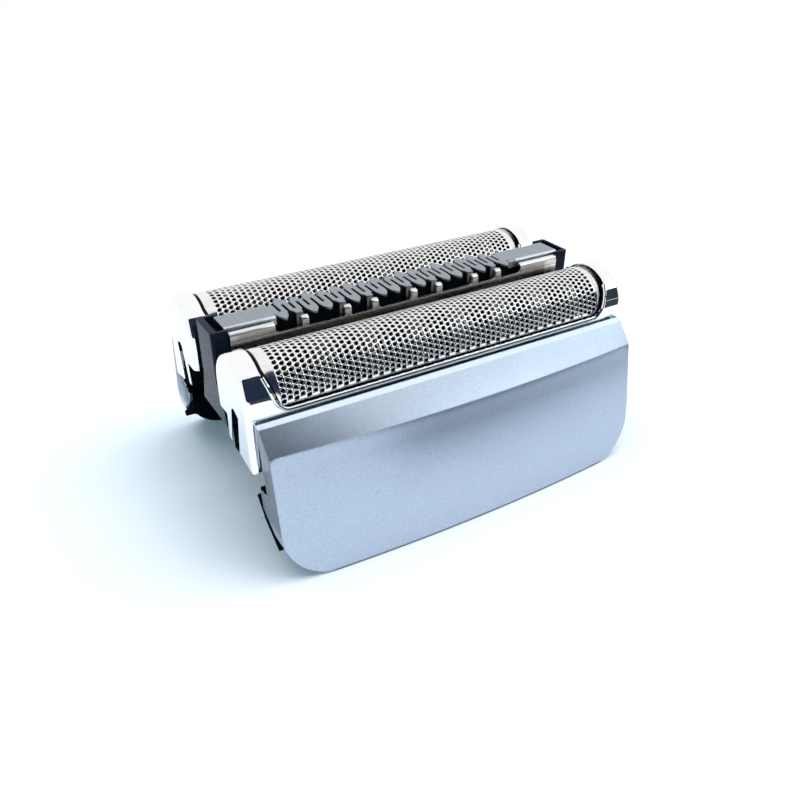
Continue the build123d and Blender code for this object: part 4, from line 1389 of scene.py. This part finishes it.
def studio_camera():
    """The camera, by its turn, lift and roll about a point and its distance from it."""
    data = bpy.data.cameras.new("camera")
    focal_pixels, picture_pixels = 775.95, 800
    data.sensor_width = 36.0
    data.lens = focal_pixels / picture_pixels * data.sensor_width
    data.clip_start = 0.005
    turn, lift, roll = radians(-31.334), radians(31.4306), radians(0.2318)
    target, distance = Vector((-0.73, -1.57, 8.37)) * MM, 124.456 * MM
    back = Vector((sin(turn) * cos(lift), -cos(turn) * cos(lift), sin(lift)))
    right = Vector((cos(turn), sin(turn), 0))
    up = back.cross(right)
    across = cos(roll) * right + sin(roll) * up
    over = cos(roll) * up - sin(roll) * right
    place = target + back * distance
    camera = bpy.data.objects.new("camera", data)
    rows = [(across[i], over[i], back[i], place[i]) for i in range(3)]
    camera.matrix_world = Matrix([*rows, (0, 0, 0, 1)])
    bpy.context.scene.collection.objects.link(camera)
    return camera


class FOILHEAD_OT_stage(bpy.types.Operator):
    """Makes the floor, the light and the camera"""

    bl_idname = "foil_head.stage"
    bl_label = "Stage"

    def execute(self, context):
        scene = context.scene
        scene.view_settings.view_transform = "Standard"
        scene.world = studio_world()
        paper_floor()
        middle = (0.0, 0.0, 0.015)
        area_light("key", (0.24, -0.14, 0.55), middle, 0.46, 2.5, (1.0, 0.945, 0.88))
        area_light("top", (-0.10, 0.10, 0.60), middle, 0.60, 1.8, (1.0, 0.975, 0.94))
        card("dark_card", (-0.14, -0.45, 0.46), (-0.14, 0.0, 0.46), 0.92, 0.92, (0.018, 0.028, 0.055))
        card("low_card", (0.55, -0.45, 0.165), (0.55, 0.0, 0.165), 0.46, 0.33, (0.035, 0.04, 0.05))
        card("floor_card", (0.155, -0.255, 0.0008), (0.155, -0.255, -1.0), 0.30, 0.398, (0.04, 0.055, 0.08))
        card("bright_card", (0.50, -0.47, 0.56), middle, 0.34, 0.44, (0.88, 0.97, 1.0), 2.5)
        scene.camera = studio_camera()
        return {"FINISHED"}


class FOILHEAD_PT_sidebar(bpy.types.Panel):
    """Lists the foil head's steps, sizes and colours"""

    bl_idname = "FOILHEAD_PT_sidebar"
    bl_label = "Foil head"
    bl_space_type = "VIEW_3D"
    bl_region_type = "UI"
    bl_category = "Foil head"

    def draw(self, context):
        layout = self.layout
        for operator in OPERATORS:
            layout.operator(operator.bl_idname)
        for group in (context.scene.foil_head_sizes, context.scene.foil_head_colours):
            box = layout.box()
            for name in group.__annotations__:
                box.prop(group, name)


OPERATORS = (
    FOILHEAD_OT_stage,
    FOILHEAD_OT_panels,
    FOILHEAD_OT_frames,
    FOILHEAD_OT_foils,
    FOILHEAD_OT_blades,
    FOILHEAD_OT_channel,
    FOILHEAD_OT_plate,
    FOILHEAD_OT_ends,
    FOILHEAD_OT_clips,
    FOILHEAD_OT_springs,
    FOILHEAD_OT_moulded,
)
CLASSES = (FoilHeadSizes, FoilHeadColours, *OPERATORS, FOILHEAD_PT_sidebar)


def register():
    for item in CLASSES:
        bpy.utils.register_class(item)
    bpy.types.Scene.foil_head_sizes = PointerProperty(type=FoilHeadSizes)
    bpy.types.Scene.foil_head_colours = PointerProperty(type=FoilHeadColours)


def unregister():
    del bpy.types.Scene.foil_head_colours
    del bpy.types.Scene.foil_head_sizes
    for item in reversed(CLASSES):
        bpy.utils.unregister_class(item)


def main():
    register()
    bpy.ops.foil_head.stage()
    bpy.ops.foil_head.panels()
    bpy.ops.foil_head.frames()
    bpy.ops.foil_head.foils()
    bpy.ops.foil_head.blades()
    bpy.ops.foil_head.channel()
    bpy.ops.foil_head.plate()
    bpy.ops.foil_head.ends()
    bpy.ops.foil_head.clips()
    bpy.ops.foil_head.springs()
    bpy.ops.foil_head.moulded()


if __name__ == "__main__":
    main()
